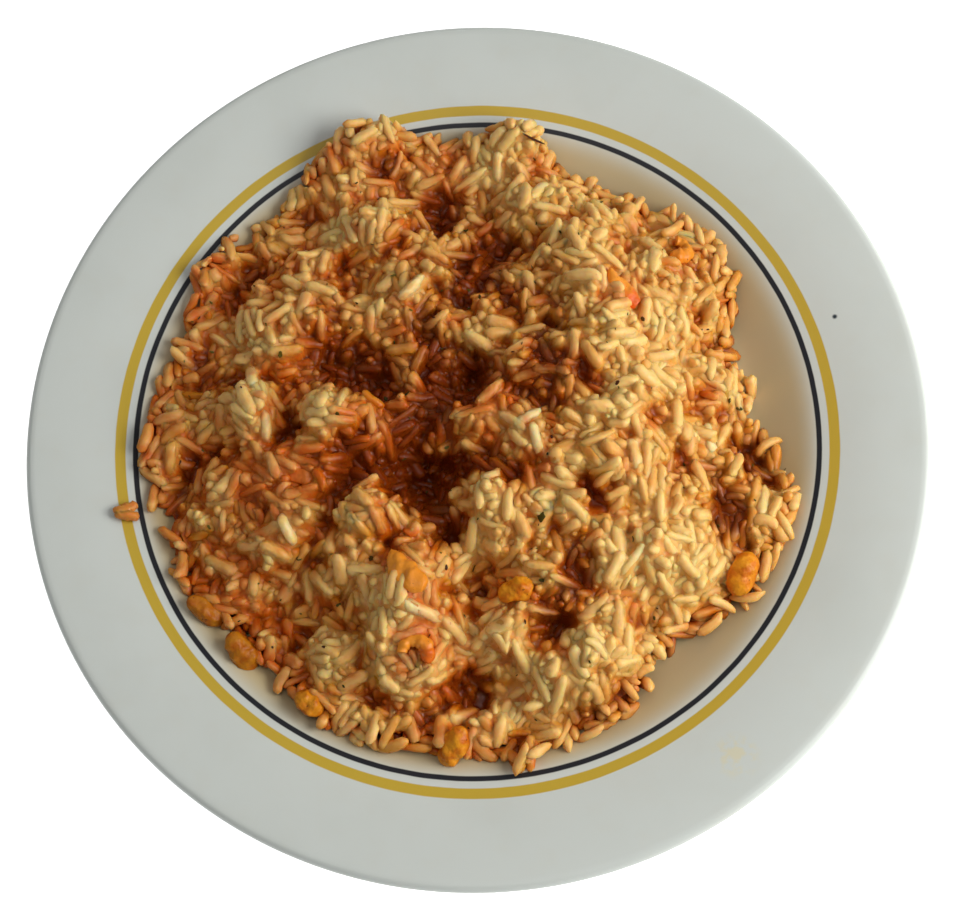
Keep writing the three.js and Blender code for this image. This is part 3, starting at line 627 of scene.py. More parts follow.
grainPack = {
    "count": 4300, "depth": 7.0, "lift": 0.4, "spread": 1.25, "tilt": 0.42, "standing": 0.25,
    "radius": 1.5, "radiusSpread": 0.15, "squash": 0.66, "length": 8.9, "lengthSpread": 0.9,
    "radiusRange": (-1.7, 1.5), "lengthRange": (-1.6, 1.6), "liftRange": (-1.5, 2.2),
    "brokenShare": 0.16, "brokenLength": 5.8, "pale": (0.5, 0.3), "highest": 40.3,
    "placedLift": 1.2, "placedWidth": 0.9, "placedGap": 0.3, "placedPale": 0.2, "freeLift": 9,
    "reach": 100, "heights": (8, 46), "batch": 40000, "looks": 12,
}


def sampleShell(random, count):
    # Points spread evenly through the outer layer of the heap: inside it, and near its top or side.
    found = []
    total = 0
    radius = grainPack["radius"]
    while total < count:
        x, y = random.uniform(-grainPack["reach"], grainPack["reach"], (2, grainPack["batch"]))
        z = random.uniform(*grainPack["heights"], grainPack["batch"])
        top = field.at(x, y)
        inside = (z < top - radius) & (z > plateTop(np.hypot(x, y)) + radius)
        depth = grainPack["depth"]
        near = top - z < depth
        for turn in np.linspace(0, tau, grainPack["looks"], endpoint=False):
            aside = field.at(x + depth * np.cos(turn), y + depth * np.sin(turn))
            near |= aside < z
        keep = inside & near
        found.append(np.stack([x, y, z], -1)[keep])
        total += keep.sum()
    return np.concatenate(found)[:count]


def nearPairs(centre, half, reach):
    # All pairs of bodies that could touch: their middles lie nearer than both half lengths and the reach.
    order = np.argsort(centre[:, 0])
    x = centre[order, 0]
    widest = 2 * half.max() + reach
    last = np.searchsorted(x, x + widest, side="right")
    counts = last - np.arange(len(x)) - 1
    first = np.repeat(np.arange(len(x)), counts)
    second = np.arange(len(first)) - np.repeat(np.cumsum(counts) - counts, counts) + first + 1
    gap = centre[order[first]] - centre[order[second]]
    limit = half[order[first]] + half[order[second]] + reach
    keep = (gap * gap).sum(-1) < limit * limit
    return order[first[keep]], order[second[keep]]


relaxing = {
    "rounds": 70, "pairRounds": 6, "pairReach": 1.5, "spin": 3, "pairShare": 0.5, "most": 2,
    "surfaceShare": 0.35, "floorGap": 0.15, "floorShare": 0.5,
}


def relax(bodies):
    # Pushes rods with round ends apart wherever they overlap, and keeps them between plate and surface.
    centre, way, half, radius, lift, weight = (
        bodies[key] for key in ("centre", "way", "half", "radius", "lift", "weight")
    )
    count = len(centre)
    spin = relaxing["spin"] / np.maximum(half + radius, 1) ** 2 * weight
    for step in range(relaxing["rounds"]):
        if step % relaxing["pairRounds"] == 0:
            first, second = nearPairs(centre, half, 2 * radius.max() + relaxing["pairReach"])
        p, q, d, e = centre[first], centre[second], way[first], way[second]
        gap = p - q
        b, dw, ew = (d * e).sum(-1), (d * gap).sum(-1), (e * gap).sum(-1)
        s = np.clip((b * ew - dw) / np.maximum(1 - b * b, 1e-3), -half[first], half[first])
        t = np.clip(b * s + ew, -half[second], half[second])
        s = np.clip(b * t - dw, -half[first], half[first])
        apart = gap + s[:, None] * d - t[:, None] * e
        distance = np.maximum(np.linalg.norm(apart, axis=-1), 1e-4)
        overlap = radius[first] + radius[second] - distance
        hit = overlap > 0
        i, j, s, t = first[hit], second[hit], s[hit], t[hit]
        normal = apart[hit] / distance[hit, None]
        share = weight[i] + spin[i] * s * s + weight[j] + spin[j] * t * t
        push = (relaxing["pairShare"] * overlap[hit] / np.maximum(share, 1e-6))[:, None] * normal
        move, turn = np.zeros_like(centre), np.zeros_like(way)
        for axis in range(3):
            move[:, axis] += np.bincount(i, push[:, axis] * weight[i], count)
            move[:, axis] -= np.bincount(j, push[:, axis] * weight[j], count)
            turn[:, axis] += np.bincount(i, push[:, axis] * spin[i] * s, count)
            turn[:, axis] -= np.bincount(j, push[:, axis] * spin[j] * t, count)
        for place in (-1.0, 0.0, 1.0):
            reach = place * half
            tip = centre + reach[:, None] * way
            up = field.normal(tip[:, 0], tip[:, 1])
            above = (tip[:, 2] - field.at(tip[:, 0], tip[:, 1])) * up[:, 2] + radius - lift
            shove = -np.clip(above, 0, relaxing["most"])[:, None] * up * relaxing["surfaceShare"]
            r = np.hypot(tip[:, 0], tip[:, 1])
            below = plateTop(r) + radius + relaxing["floorGap"] - tip[:, 2]
            shove[:, 2] += np.clip(below, 0, relaxing["most"]) * relaxing["floorShare"]
            move += shove * weight[:, None]
            turn += shove * (spin * reach)[:, None]
        centre += move
        way[:] = unit(way + turn)


# Grains that the photograph shows one by one: x, y of both ends, width, paleness.
placedGrains = (
    (-13, 40.5, -19.5, 33, 4.0, 1.0), (-35.5, 60.5, -32, 52, 3.8, 0.8), (-30, 64, -27, 56, 3.6, 0.8),
    (-52.5, 43, -47, 39, 3.2, 0.6), (-49, 33.5, -56.5, 28, 3.4, 0.5), (-41, 31, -41, 23.5, 3.2, 0.4),
    (9, 86, 4.5, 81.5, 3.8, 0.9), (6.5, 80, 6.5, 72, 3.4, 0.9), (20.5, 70, 16, 64, 3.4, 1.0),
    (-2.5, 81, -7, 73, 3.4, 0.5), (3.5, 76, -6, 70.5, 3.2, 0.5), (-8.5, 75, -17, 72, 3.2, 0.5),
    (-15, 68, -24.5, 65.5, 3.2, 0.5), (-14, 49, -6.5, 45.5, 3.2, 0.5), (32, 46.5, 40, 40, 3.2, 0.7),
    (34, 40, 34.5, 32, 3.4, 0.9), (27, 22, 26.5, 13, 3.6, 0.8), (41, 27, 33, 22.5, 3.4, 0.7),
    (55, 31, 57, 23, 3.4, 0.8), (-61, 18, -58.5, 10, 3.6, 0.9), (-57, 12, -54.5, 4, 3.4, 0.8),
    (-55, 3, -54.5, -5, 3.6, 1.0), (-34, 10, -34.5, 2, 3.4, 0.6), (-27.5, 4.5, -26.5, -4, 3.6, 0.5),
    (-24.5, 0, -22, -9, 3.6, 0.5), (-48.5, -9.5, -39, -12.5, 3.0, 0.6),
    (-49.5, -26, -46, -33, 3.8, 1.0), (-2, 28, 0, 20, 3.4, 0.5), (32, 4, 30, -4.5, 3.4, 0.8),
    (17.5, 0.5, 11.5, -3.5, 3.2, 1.0), (7, 0.5, 14, -5, 3.4, 0.9), (15.5, -3.5, 17.5, -11.5, 3.2, 1.0),
    (35, 5, 43, 8, 3.6, 0.8), (8, 10, 1, 3, 3.4, 0.4), (40.5, -8, 42.5, -17, 4.0, 0.9),
    (53.5, 5, 53, -4, 3.6, 0.8), (62, 0.5, 62.5, -8, 3.4, 1.0), (68, 1.5, 64, -6, 3.4, 0.6),
    (57.5, -11, 61.5, -20, 3.4, 0.7), (77, -16, 75, -25, 3.8, 0.9), (43.5, -35, 37.5, -42.5, 3.2, 1.0),
    (48, -20.5, 48, -29, 3.4, 0.7), (-43.5, -37.5, -43, -46.5, 3.4, 0.6),
    (-28.5, -41.5, -26, -50, 3.4, 0.5), (-17, -50, -8, -53, 3.6, 1.0),
    (-11.5, -55.5, -20, -58.5, 3.6, 1.0), (-21, -42, -21, -50, 3.4, 0.8),
    (-35, -69.5, -27, -65.5, 3.4, 0.6), (-8, -52.5, -1.5, -58.5, 3.4, 0.7),
    (13, -34, 6, -38.5, 3.4, 0.4), (0.5, -26.5, -1, -35, 3.4, 0.8), (23, -23, 29.5, -29, 3.4, 0.7),
    (9.5, -20.5, 9, -29, 3.4, 0.6), (25, -60, 28.5, -68, 3.8, 0.9), (23, -67.5, 19.5, -75.5, 3.6, 0.8),
    (1, -74, -7, -77.5, 4.2, 0.6), (39.5, -53.5, 39, -62, 3.6, 0.7), (10, -58, 14.5, -66, 3.4, 0.5),
    (13.5, -50, 21.5, -50.5, 3.2, 0.6), (2.5, -17.5, 7.5, -15, 3.2, 0.9),
    (-75.5, 48, -73, 50.5, 2.2, 0.7), (-69, 57.5, -66.5, 58.5, 2.4, 0.9),
    (-71.5, 54.5, -70, 53, 1.8, 0.6),
)


def layPlaced():
    # The placed grains as bodies that lie along the surface and don't move.
    rows = np.array(placedGrains)
    radius = rows[:, 4] / 2 * grainPack["placedWidth"]
    ends = []
    for k in (0, 2):
        x, y = rows[:, k], rows[:, k + 1]
        resting = plateTop(np.hypot(x, y)) + radius + grainPack["placedGap"]
        z = np.maximum(field.read(field.laying, x, y) - radius + grainPack["placedLift"], resting)
        ends.append(np.stack([x, y, z], -1))
    span = ends[1] - ends[0]
    length = np.linalg.norm(span, axis=-1)
    none = np.zeros(len(rows))
    return {
        "centre": (ends[0] + ends[1]) / 2, "way": span / length[:, None], "half": length / 2 - radius,
        "radius": radius, "lift": none + grainPack["freeLift"], "weight": none, "pale": rows[:, 5],
    }


def packGrains(fixed):
    # Grains at random in the heap's outer layer, relaxed around the fixed bodies and the placed grains.
    random = np.random.default_rng(21)
    pack = grainPack
    centre = sampleShell(random, pack["count"])
    count = len(centre)
    up = field.normal(centre[:, 0], centre[:, 1])
    way = random.normal(size=(count, 3))
    freedom = np.where(random.random(count) < pack["standing"], 1, pack["tilt"])[:, None]
    way -= (1 - freedom) * (way * up).sum(-1, keepdims=True) * up
    broken = random.random(count) < pack["brokenShare"]
    length = np.where(broken, pack["brokenLength"], pack["length"])
    length = length + pack["lengthSpread"] * np.clip(random.normal(size=count), *pack["lengthRange"])
    widening = np.clip(random.normal(size=count), *pack["radiusRange"])
    radius = pack["radius"] * (1 + pack["radiusSpread"] * widening)
    loose = {
        "centre": centre, "way": unit(way), "half": length / 2 - radius, "radius": radius * pack["squash"],
        "lift": pack["lift"] + pack["spread"] * np.clip(random.normal(size=count), *pack["liftRange"]),
        "weight": np.ones(count),
    }
    placed = layPlaced()
    bodies = {key: np.concatenate([loose[key], placed[key], fixed[key]]) for key in loose}
    relax(bodies)
    tops = bodies["centre"][:, 2] + np.abs(bodies["way"][:, 2]) * bodies["half"] + bodies["radius"]
    bodies["centre"][:, 2] -= np.maximum(tops - pack["highest"], 0)
    total = count + len(placedGrains)
    print("packed", total, "grains")
    pale = np.clip(random.normal(*pack["pale"], count), 0, 1)
    return {
        "centre": bodies["centre"][:total], "way": bodies["way"][:total],
        "half": np.concatenate([length / 2 - radius, placed["half"]]),
        "radius": np.concatenate([radius, placed["radius"]]),
        "broken": np.concatenate([broken, np.zeros(len(placedGrains), bool)]),
        "pale": np.concatenate([pale, placed["pale"] + pack["placedPale"]]),
    }


grainForm = {
    "rings": 6, "sides": 8, "flatness": 0.86, "uneven": 0.12, "oval": 0.05,
    "blunt": (3.4, 9), "taper": 0.14, "waist": (-0.07, 0.09), "waistTurns": 2.2,
    "bow": 0.5, "bowMost": 1.2, "bowMiddle": 0.4, "bowTip": 0.6, "slant": 0.4, "slantPower": 5,
    "creaseReach": 0.5, "creaseGap": 0.15, "creaseFar": 2, "batch": 20000,
    "swollenShare": 0.48, "sauceSpread": 0.1, "depthReach": 6,
}


def carried(middles, ways, offsets):
    # Points of many bodies, each at its middle plus offsets along its own three directions.
    points = middles[:, None, None, :]
    for way, offset in zip(ways, offsets):
        points = points + offset[..., None] * way[:, None, None, :]
    return points


def closed(firstTip, body, lastTip):
    # The points of each body in the order that its faces take: a tip, its rings, the other tip.
    return np.concatenate([firstTip[:, None], body.reshape(len(body), -1, 3), lastTip[:, None]], 1)


def grainBodies(grains, random, rings, sides):
    # Each grain: rings of a flattened round section along a bowed line, blunt at both ends.
    form = grainForm
    count = len(grains["centre"])
    half = (grains["half"] + grains["radius"])[:, None, None]
    width = grains["radius"][:, None, None]
    t = -np.cos(np.pi * (np.arange(rings) + 0.62) / (rings + 0.24))[None, :, None]
    blunt = random.uniform(*form["blunt"], (count, 1, 1))
    taper = 1 + random.uniform(-form["taper"], form["taper"], (count, 1, 1)) * t
    waist = 1 + random.uniform(*form["waist"], (count, 1, 1)) * np.cos(form["waistTurns"] * np.pi * t)
    section = width * np.maximum(1 - np.abs(t) ** blunt, 0) ** 0.5 * taper * waist
    section = section * (1 + form["uneven"] * random.normal(size=(count, rings, sides)))
    around = (tau * (np.arange(sides) / sides))[None, None, :]
    section = section * (1 + form["oval"] * np.cos(2 * around + random.uniform(0, tau, (count, 1, 1))))
    bend = np.clip(random.normal(0, form["bow"], (count, 1, 1)), -form["bowMost"], form["bowMost"])
    slant = random.normal(0, form["slant"], (count, 1, 1)) * np.abs(t) ** form["slantPower"]
    sideways = section * np.cos(around) + bend * (t * t - form["bowMiddle"])
    upward = section * form["flatness"] * np.sin(around)
    along = half * t + slant * section * np.cos(around)
    way = grains["way"]
    across = unit(np.cross(way, random.normal(size=(count, 3))))
    above = np.cross(way, across)
    body = carried(grains["centre"], (way, across, above), (along, sideways, upward))
    first, last = (
        grains["centre"] + sign * half[:, 0] * way + form["bowTip"] * bend[:, :, 0] * across
        for sign in (-1, 1)
    )
    return closed(first, body, last)


def repeatedFaces(count, rings, sides):
    # The faces of `count` closed bodies whose points follow each other.
    start = (np.arange(count) * (2 + rings * sides))[:, None, None]
    return [(rows[None] + start).reshape(-1, rows.shape[1]) for rows in tubeFaces(rings, sides)]


def crowding(points, grains, others):
    # How closely other grains or pieces lie round each point of each grain, from 0; the finish paints shade
    # in the creases from it.
    centre, way, half, radius = (
        np.concatenate([grains[key], others[key]]) for key in ("centre", "way", "half", "radius")
    )
    form = grainForm
    first, second = nearPairs(centre, half, 2 * radius.max() + form["creaseFar"])
    own, other = np.concatenate([first, second]), np.concatenate([second, first])
    mine = own < len(grains["centre"])
    own, other = own[mine], other[mine]
    size = points.shape[1]
    total = np.zeros(len(points) * size)
    for start in range(0, len(own), form["batch"]):
        i, j = own[start:start + form["batch"]], other[start:start + form["batch"]]
        gap = points[i] - centre[j][:, None, :]
        reach = half[j][:, None]
        along = np.clip((gap * way[j][:, None, :]).sum(-1), -reach, reach)
        away = np.linalg.norm(gap - along[..., None] * way[j][:, None, :], axis=-1) - radius[j][:, None]
        share = np.exp(-np.maximum(away + form["creaseGap"], 0) / form["creaseReach"])
        total += np.bincount((i[:, None] * size + np.arange(size)).ravel(), share.ravel(), len(total))
    return total.reshape(len(points), size)


# Where more orange sauce lies: x, y, reach, strength.
saucePlaces = (
    (41, 32, 6, 0.9), (-46, -15, 8, 1.0), (30, 11, 6, 0.8), (-13, -60, 8, 0.9), (-17, -40, 8, 0.7),
    (45, -1, 4, 0.7), (61, 8, 5, 0.7), (18, 75, 4, 0.8), (14, -14, 6, 0.7), (27, -44, 6, 0.5),
    (19, -63, 6, 0.5), (-21, 52, 5, 0.8), (-12, 83, 5, 0.6), (-38, 79, 6, 0.5), (-60, -14, 7, 0.6),
    (-68, 36, 6, 0.4), (-26, -8, 12, 0.5), (-68, -42, 12, 0.5), (-5, -84, 8, 0.6), (4, 8, 12, 0.4),
    (20, 14, 6, 0.5), (10, -46, 7, 0.5), (56, 52, 6, 0.5), (-50, 18, 5, 0.5), (-42, 60, 8, 0.3),
    (-10, 68, 7, 0.5),
)


drifts = {
    "sauce": 0.3, "leftward": 0.0035, "broad": (0.12, 46), "patch": (0.16, 15), "placed": 0.7,
    "stain": (0.2, 6.5), "fineStain": (0.12, 2.6), "paleness": (0.3, 5.0),
}  # shares, and with some of them the size of their bumps


def drift(points, key, seed):
    # One kind of unevenness: its share times noise of its size.
    amount, size = drifts[key]
    return amount * wobble(points, size, seed)


def sauceAt(x, y):
    # How much orange sauce lies at a place, 0 to 1: broad drifts, small patches and the listed places, and
    # more orange towards the left (-X).
    flat = np.stack([x, y], -1)
    # The rice is more orange towards the left (-X).
    amount = drifts["sauce"] - drifts["leftward"] * x + drift(flat, "broad", 8) + drift(flat, "patch", 9)
    for cx, cy, reach, strength in saucePlaces:
        amount = amount + drifts["placed"] * strength * bell(x, y, cx, cy, reach)
    return np.clip(amount, 0, 1)


def stainAt(points):
    # How the sauce lies more or less thickly from grain to grain, over the grains and the bed alike.
    return drift(points, "stain", 12) + drift(points, "fineStain", 13)


def paleAt(points):
    # How much paler or darker the rice is from clump to clump.
    return drift(points, "paleness", 18)


def buildGrains(grains, others, finish):
    # Whole and broken grains, with the values that their finish reads at each point. The whole ones
    # are of one kind and are only shared out at random over two pieces, to keep each piece small.
    random = np.random.default_rng(33)
    whole = ~grains["broken"]
    swollen = whole & (random.random(len(whole)) < grainForm["swollenShare"])
    rings, sides = grainForm["rings"], grainForm["sides"]
    points = grainBodies(grains, random, rings, sides)
    values = grainValues(points, grains["pale"], random)
    # Crowding, which the finish paints as shade in the creases between grains.
    values["crease"] = crowding(points, grains, others)
    kinds = {"riceWhole": whole & ~swollen, "riceSwollen": swollen, "riceBroken": ~whole}
    for name, chosen in kinds.items():
        addPiece(
            name, points[chosen].reshape(-1, 3), repeatedFaces(chosen.sum(), rings, sides), finish,
            ["rice"], {key: data[chosen] for key, data in values.items()},
        )


def grainValues(points, pale, random):
    # Sauce and paleness by place and a little by grain, depth under the surface, and hollows; the finish
    # paints shade from depth and hollows and highlight on crowns.
    count, size = points.shape[:2]
    x, y, z = points[..., 0], points[..., 1], points[..., 2]
    stain = stainAt(points.reshape(-1, 3)).reshape(count, size)
    sauce = sauceAt(x, y) + stain + random.normal(0, grainForm["sauceSpread"], (count, 1))
    own = pale[:, None]
    pale = np.minimum(own + paleAt(points.reshape(-1, 3)).reshape(count, size), np.maximum(1, own))
    # Depth under the surface, which the finish paints as shade.
    depth = np.clip((field.at(x, y) - z) / grainForm["depthReach"], 0, 1)
    return {"sauce": sauce, "pale": pale, "depth": depth, "rise": field.rise(x, y, z)}


riceFinish = {
    "plain": (211, 137, 30), "pale": (246, 201, 126), "saucy": (208, 92, 0), "deep": (88, 12, 0),
    "bright": (254, 226, 168), "brightening": 3,
    "scatter": (1.0, 0.56, 0.22), "scatterDepth": 2.2, "mottleSize": 1.6,
    "film": (0.18, 1.33), "sauceAndShadeMottle": 0.45, "creaseShadeShare": 0.1, "depthShadeShare": 0.5, "crownLightShare": 0.35,
    "hollowShadeShare": 0.45, "sauceAndShadeShare": 0.86,
    "creamLeast": 0.24, "creamPale": 0.6, "crownHighlightShare": 0.6, "creamMottle": 0.25,
    "shadeDepth": 0.3, "shadeHollow": 0.78, "roughness": 0.3, "roughMottle": 0.2,
    "bumpSize": 1.0, "bumpDepth": 0.22, "bumpStrength": 0.8,
}


def makeRiceFinish():
    # Cooked rice: pale on its crowns as painted highlight, stained in drifts, and darker orange and brown in
    # creases, depths and hollows as painted shade.
    look = riceFinish
    material, tree, shader = newFinish("cookedRice", {
        "Subsurface Weight": 0.75, "Subsurface Radius": look["scatter"],
        "Subsurface Scale": look["scatterDepth"] * mm, "Specular IOR Level": 0.27, "IOR": 1.45,
    })
    sauce, pale, depth = tree.value("sauce"), tree.value("pale"), tree.value("depth")
    rise, crease = tree.value("rise"), tree.value("crease")
    mottle = tree.noise(look["mottleSize"], 2, 0.01)
    # Painted shade: the sauce's orange deepens in creases between grains.
    film = sauce + (mottle - 0.5) * look["sauceAndShadeMottle"] + crease * look["creaseShadeShare"]
    # Painted shade deeper under the surface, and less sauce colour on crowns as painted highlight.
    film = (film + depth * look["depthShadeShare"] - rise * look["crownLightShare"]).step(*look["film"])
    # Painted shade: hollows take more of the sauce's orange.
    film = (film + rise.step(0.0, -0.8) * look["hollowShadeShare"]).clamped()
    # Painted highlight: crowns that stand over their surroundings are paler.
    cream = pale * look["creamPale"] + rise * look["crownHighlightShare"] + (mottle - 0.5) * look["creamMottle"]
    cream = (cream + look["creamLeast"]).clamped()
    body = cream.mix(colour(*look["plain"]), colour(*look["pale"]))
    body = ((pale - 1.0) * look["brightening"]).clamped().mix(body, colour(*look["bright"]))
    # The sauce's orange, which here also carries the painted shade of creases, depths and hollows.
    body = (film * look["sauceAndShadeShare"]).mix(body, colour(*look["saucy"]))
    # Painted shade: depth under the surface and hollows darken the rice towards brown.
    shade = depth.step(0.4, 1.0) * look["shadeDepth"] + rise.step(-0.1, -0.9) * look["shadeHollow"]
    body = shade.clamped().mix(body, colour(*look["deep"]))
    feed(tree, shader, {
        "Base Color": body,
        "Roughness": look["roughness"] + (mottle - 0.5) * look["roughMottle"],
        "Normal": bump(tree, tree.noise(look["bumpSize"], 2, 0.06), look["bumpDepth"], look["bumpStrength"]),
    })
    return material


scrapForm = {
    "place": (-92.5, -22), "turn": 12, "apart": 1.9, "splay": 0.25, "length": 6.6, "width": 3.0,
    "gap": 0.35, "slopeReach": 2, "rings": 14, "sides": 18, "sauce": 0.75, "pale": 0.2,
}


def buildScrap(finish):
    # Two short grains stuck together on the painted rings.
    turn = np.radians(scrapForm["turn"])
    side = np.array([-1.0, 1.0])
    x = scrapForm["place"][0] - side * scrapForm["apart"] / 2 * np.sin(turn)
    y = scrapForm["place"][1] + side * scrapForm["apart"] / 2 * np.cos(turn)
    r = np.hypot(x, y)
    reach = scrapForm["slopeReach"]
    slope = (plateTop(r + reach) - plateTop(r - reach)) / (2 * reach)
    angle = turn + scrapForm["splay"] * side
    radius = scrapForm["width"] / 2
    pair = {
        "centre": np.stack([x, y, plateTop(r) + radius + scrapForm["gap"]], -1),
        "way": unit(np.stack([np.cos(angle), np.sin(angle), -slope], -1)),
        "half": np.full(2, scrapForm["length"] / 2 - radius), "radius": np.full(2, radius),
    }
    rings, sides = scrapForm["rings"], scrapForm["sides"]
    points = grainBodies(pair, np.random.default_rng(2), rings, sides)
    none = np.zeros(points.shape[:2])
    values = {key: none for key in ("depth", "rise", "crease")}
    values.update(sauce=none + scrapForm["sauce"], pale=none + scrapForm["pale"])
    faces = repeatedFaces(2, rings, sides)
    addPiece("riceScrap", points.reshape(-1, 3), faces, finish, ["rice_scrap"], values)


seafoodForm = {
    "curl": {
        "sweep": 1.2 * np.pi, "taper": 0.45, "flatness": 0.95, "joints": 6, "jointRise": 0.07,
        "nose": 0.2, "noseDrop": 0.9, "room": (2.6, 2.2, 1.9),
    },  # room: the step between its three rods, how much shorter they are than half of it, their radius
    "tail": {
        "bow": 0.12, "flatness": 0.8, "cut": 0.04, "fullness": 0.8, "start": 0.03, "span": 0.94,
        "ridges": 4, "ridgeRise": 0.06,
    },
    "mussel": {"bow": 0.08, "flatness": 0.8, "crease": 0.04, "creasePhase": 0.6},
    "strip": {"arch": 0.9, "flatness": 0.4, "roundness": 3},
    "gap": 0.3, "rings": 44, "sides": 40, "ends": 4, "room": 0.36, "slopeReach": 3, "steepest": 0.6,
    "rough": ((0.34, 4.2, 50), (0.09, 1.6, 80)), "blush": 0.1,
}  # rough: height, size and first seed


def curlForm(length, width):
    # A body bent round a circle, thinning to its tail and ringed by its joints.
    form = seafoodForm["curl"]
    radius = (length - width) / 2

    def body(t):
        nose = np.sqrt(1 - (1 - np.minimum(1, t / form["nose"])) ** 2 * form["noseDrop"])
        joints = 1 + form["jointRise"] * np.cos(tau * form["joints"] * t)
        return width / 2 * (1 - form["taper"] * t) * nose * joints

    def path(t):
        angle = form["sweep"] * t
        return np.stack([radius * np.cos(angle), radius * np.sin(angle), 0 * t], -1)
    return path, body, lambda t: body(t) * form["flatness"]


def tailForm(length, width):
    # The straight end of a prawn: broad at the cut, tapering, slightly bowed.
    form = seafoodForm["tail"]

    def path(t):
        return np.stack([(t - 0.5) * length, form["bow"] * length * np.sin(np.pi * t), 0 * t], -1)

    def halfWidth(t):
        return width / 2 * np.sqrt(np.sin(np.pi * np.minimum(1, t + form["cut"]) ** form["fullness"]))

    def halfHeight(t):
        ridges = 1 + form["ridgeRise"] * np.cos(tau * form["ridges"] * t)
        swell = np.sqrt(np.sin(np.pi * (form["start"] + form["span"] * t)))
        return width / 2 * form["flatness"] * swell * ridges
    return path, halfWidth, halfHeight


def musselForm(length, width):
    # Mussel or clam meat: a plump oval with a crease round its foot end.
    form = seafoodForm["mussel"]

    def path(t):
        return np.stack([(t - 0.5) * length, form["bow"] * length * t * t, 0 * t], -1)

    def oval(t):
        crease = 1 + form["crease"] * np.sin(3 * np.pi * t + form["creasePhase"])
        return width / 2 * np.sqrt(1 - (2 * t - 1) ** 2) * crease
    return path, oval, lambda t: oval(t) * form["flatness"]


def stripForm(length, width):
    # A flat band with round ends, arched over the rice.
    form = seafoodForm["strip"]

    def path(t):
        return np.stack([(t - 0.5) * length, 0 * t, form["arch"] * np.sin(np.pi * t)], -1)

    def band(t):
        return width / 2 * np.minimum(1, form["roundness"] * np.sqrt(t * (1 - t)))
    return path, band, lambda t: band(t) * form["flatness"]


def sweepBody(path, halfWidth, halfHeight, rings, sides):
    # Flattened rings carried along a level path, with a point at either end; also t and height share.
    t = 0.5 - 0.5 * np.cos(np.pi * (np.arange(rings) + 0.5) / rings)
    along = path(np.minimum(1, t + 0.01)) - path(np.maximum(0, t - 0.01))
    across = unit(np.stack([-along[:, 1], along[:, 0], 0 * t], -1))[:, None, :]
    around = tau * np.arange(sides) / sides
    up = np.array([0, 0, 1.0])
    rows = (
        path(t)[:, None, :] + across * (halfWidth(t)[:, None] * np.cos(around))[..., None]
        + up * (halfHeight(t)[:, None] * np.sin(around))[..., None]
    )
    points = np.concatenate([path(np.zeros(1)), rows.reshape(-1, 3), path(np.ones(1))])
    values = np.concatenate([[0], np.repeat(t, sides), [1]])
    upper = np.concatenate([[0], np.tile(np.sin(around), rings), [0]])
    return points, tubeFaces(rings, sides), values, upper


def seafoodPlace(piece):
    # Middle, turn and tip of a piece: it lies on the heap's smooth form and follows its slope.
    x, y, turn, width, standOut = piece[2], piece[3], np.radians(piece[4]), piece[6], piece[7]
    z = max(riceTop(x, y), plateTop(np.hypot(x, y)) + width / 2) - width / 2 + standOut
    reach, steepest = seafoodForm["slopeReach"], seafoodForm["steepest"]
    climb = (riceTop(x + reach, y) - riceTop(x - reach, y)) / (2 * reach) * np.cos(turn)
    climb += (riceTop(x, y + reach) - riceTop(x, y - reach)) / (2 * reach) * np.sin(turn)
    return np.array([x, y, float(z)]), turn, np.arctan(np.clip(climb, -steepest, steepest))


def turned(points, turn, tip):
    # Tips the far end up about Y, then turns about Z.
    x, y, z = points.T
    x, z = x * np.cos(tip) - z * np.sin(tip), x * np.sin(tip) + z * np.cos(tip)
    return np.stack([x * np.cos(turn) - y * np.sin(turn), x * np.sin(turn) + y * np.cos(turn), z], -1)


def outward(points, faces):
    # The mean outward direction at each point of a closed body.
    normals = np.zeros_like(points)
    for rows in faces:
        a, b, c = points[rows[:, 0]], points[rows[:, 1]], points[rows[:, 2]]
        face = np.cross(b - a, c - a)
        for k in range(rows.shape[1]):
            for axis in range(3):
                normals[:, axis] += np.bincount(rows[:, k], face[:, axis], len(points))
    return unit(normals)


blushesAndShades = {
    "prawn_tail_ridge": 1.0, "prawn_curl_front": 0.9, "prawn_curl_back": 0.25,
    "mussel_left": 0.9, "clam_left": 1.0, "clam_front": 0.4, "mussel_right": 0.0,
}  # how red the prawns are, and how much painted shade browns the shellfish
seafoodSlots = {"curl": "prawn", "tail": "prawn", "mussel": "shellfish", "strip": "squid"}
seafoodMakers = {"curl": curlForm, "tail": tailForm, "mussel": musselForm, "strip": stripForm}


def buildSeafood():
    # Each piece is swept, roughened along its outward directions, set in place and kept off the plate.
    shared = seafoodForm
    finishes = {kind: makeMeatFinish(meats[kind], paint) for kind, paint in meatPaints.items()}
    for number, piece in enumerate(seafood):
        name, form, length, width = piece[0], piece[1], piece[5], piece[6]
        path, halfWidth, halfHeight = seafoodMakers[form](length, width)
        points, faces, along, upper = sweepBody(
            path, halfWidth, halfHeight, shared["rings"], shared["sides"],
        )
        slack = np.minimum(1, shared["ends"] * np.minimum(along, 1 - along))[:, None]
        rough = sum(height * wobble(points, size, seed + number) for height, size, seed in shared["rough"])
        points = points + outward(points, faces) * rough[:, None] * slack
        middle, turn, tip = seafoodPlace(piece)
        points = turned(points, turn, tip) + middle
        floor = plateTop(np.hypot(points[:, 0], points[:, 1])) + shared["gap"]
        points[:, 2] = np.maximum(points[:, 2], floor)
        words = name.split("_")
        label = words[0] + "".join(word.title() for word in words[1:])
        blush = blushesAndShades.get(name, shared["blush"]) + 0 * along
        values = {"along": along, "upper": upper, "blush": blush}
        kind = seafoodSlots[form]
        addPiece(label, points, faces, finishes[kind], [name], values)


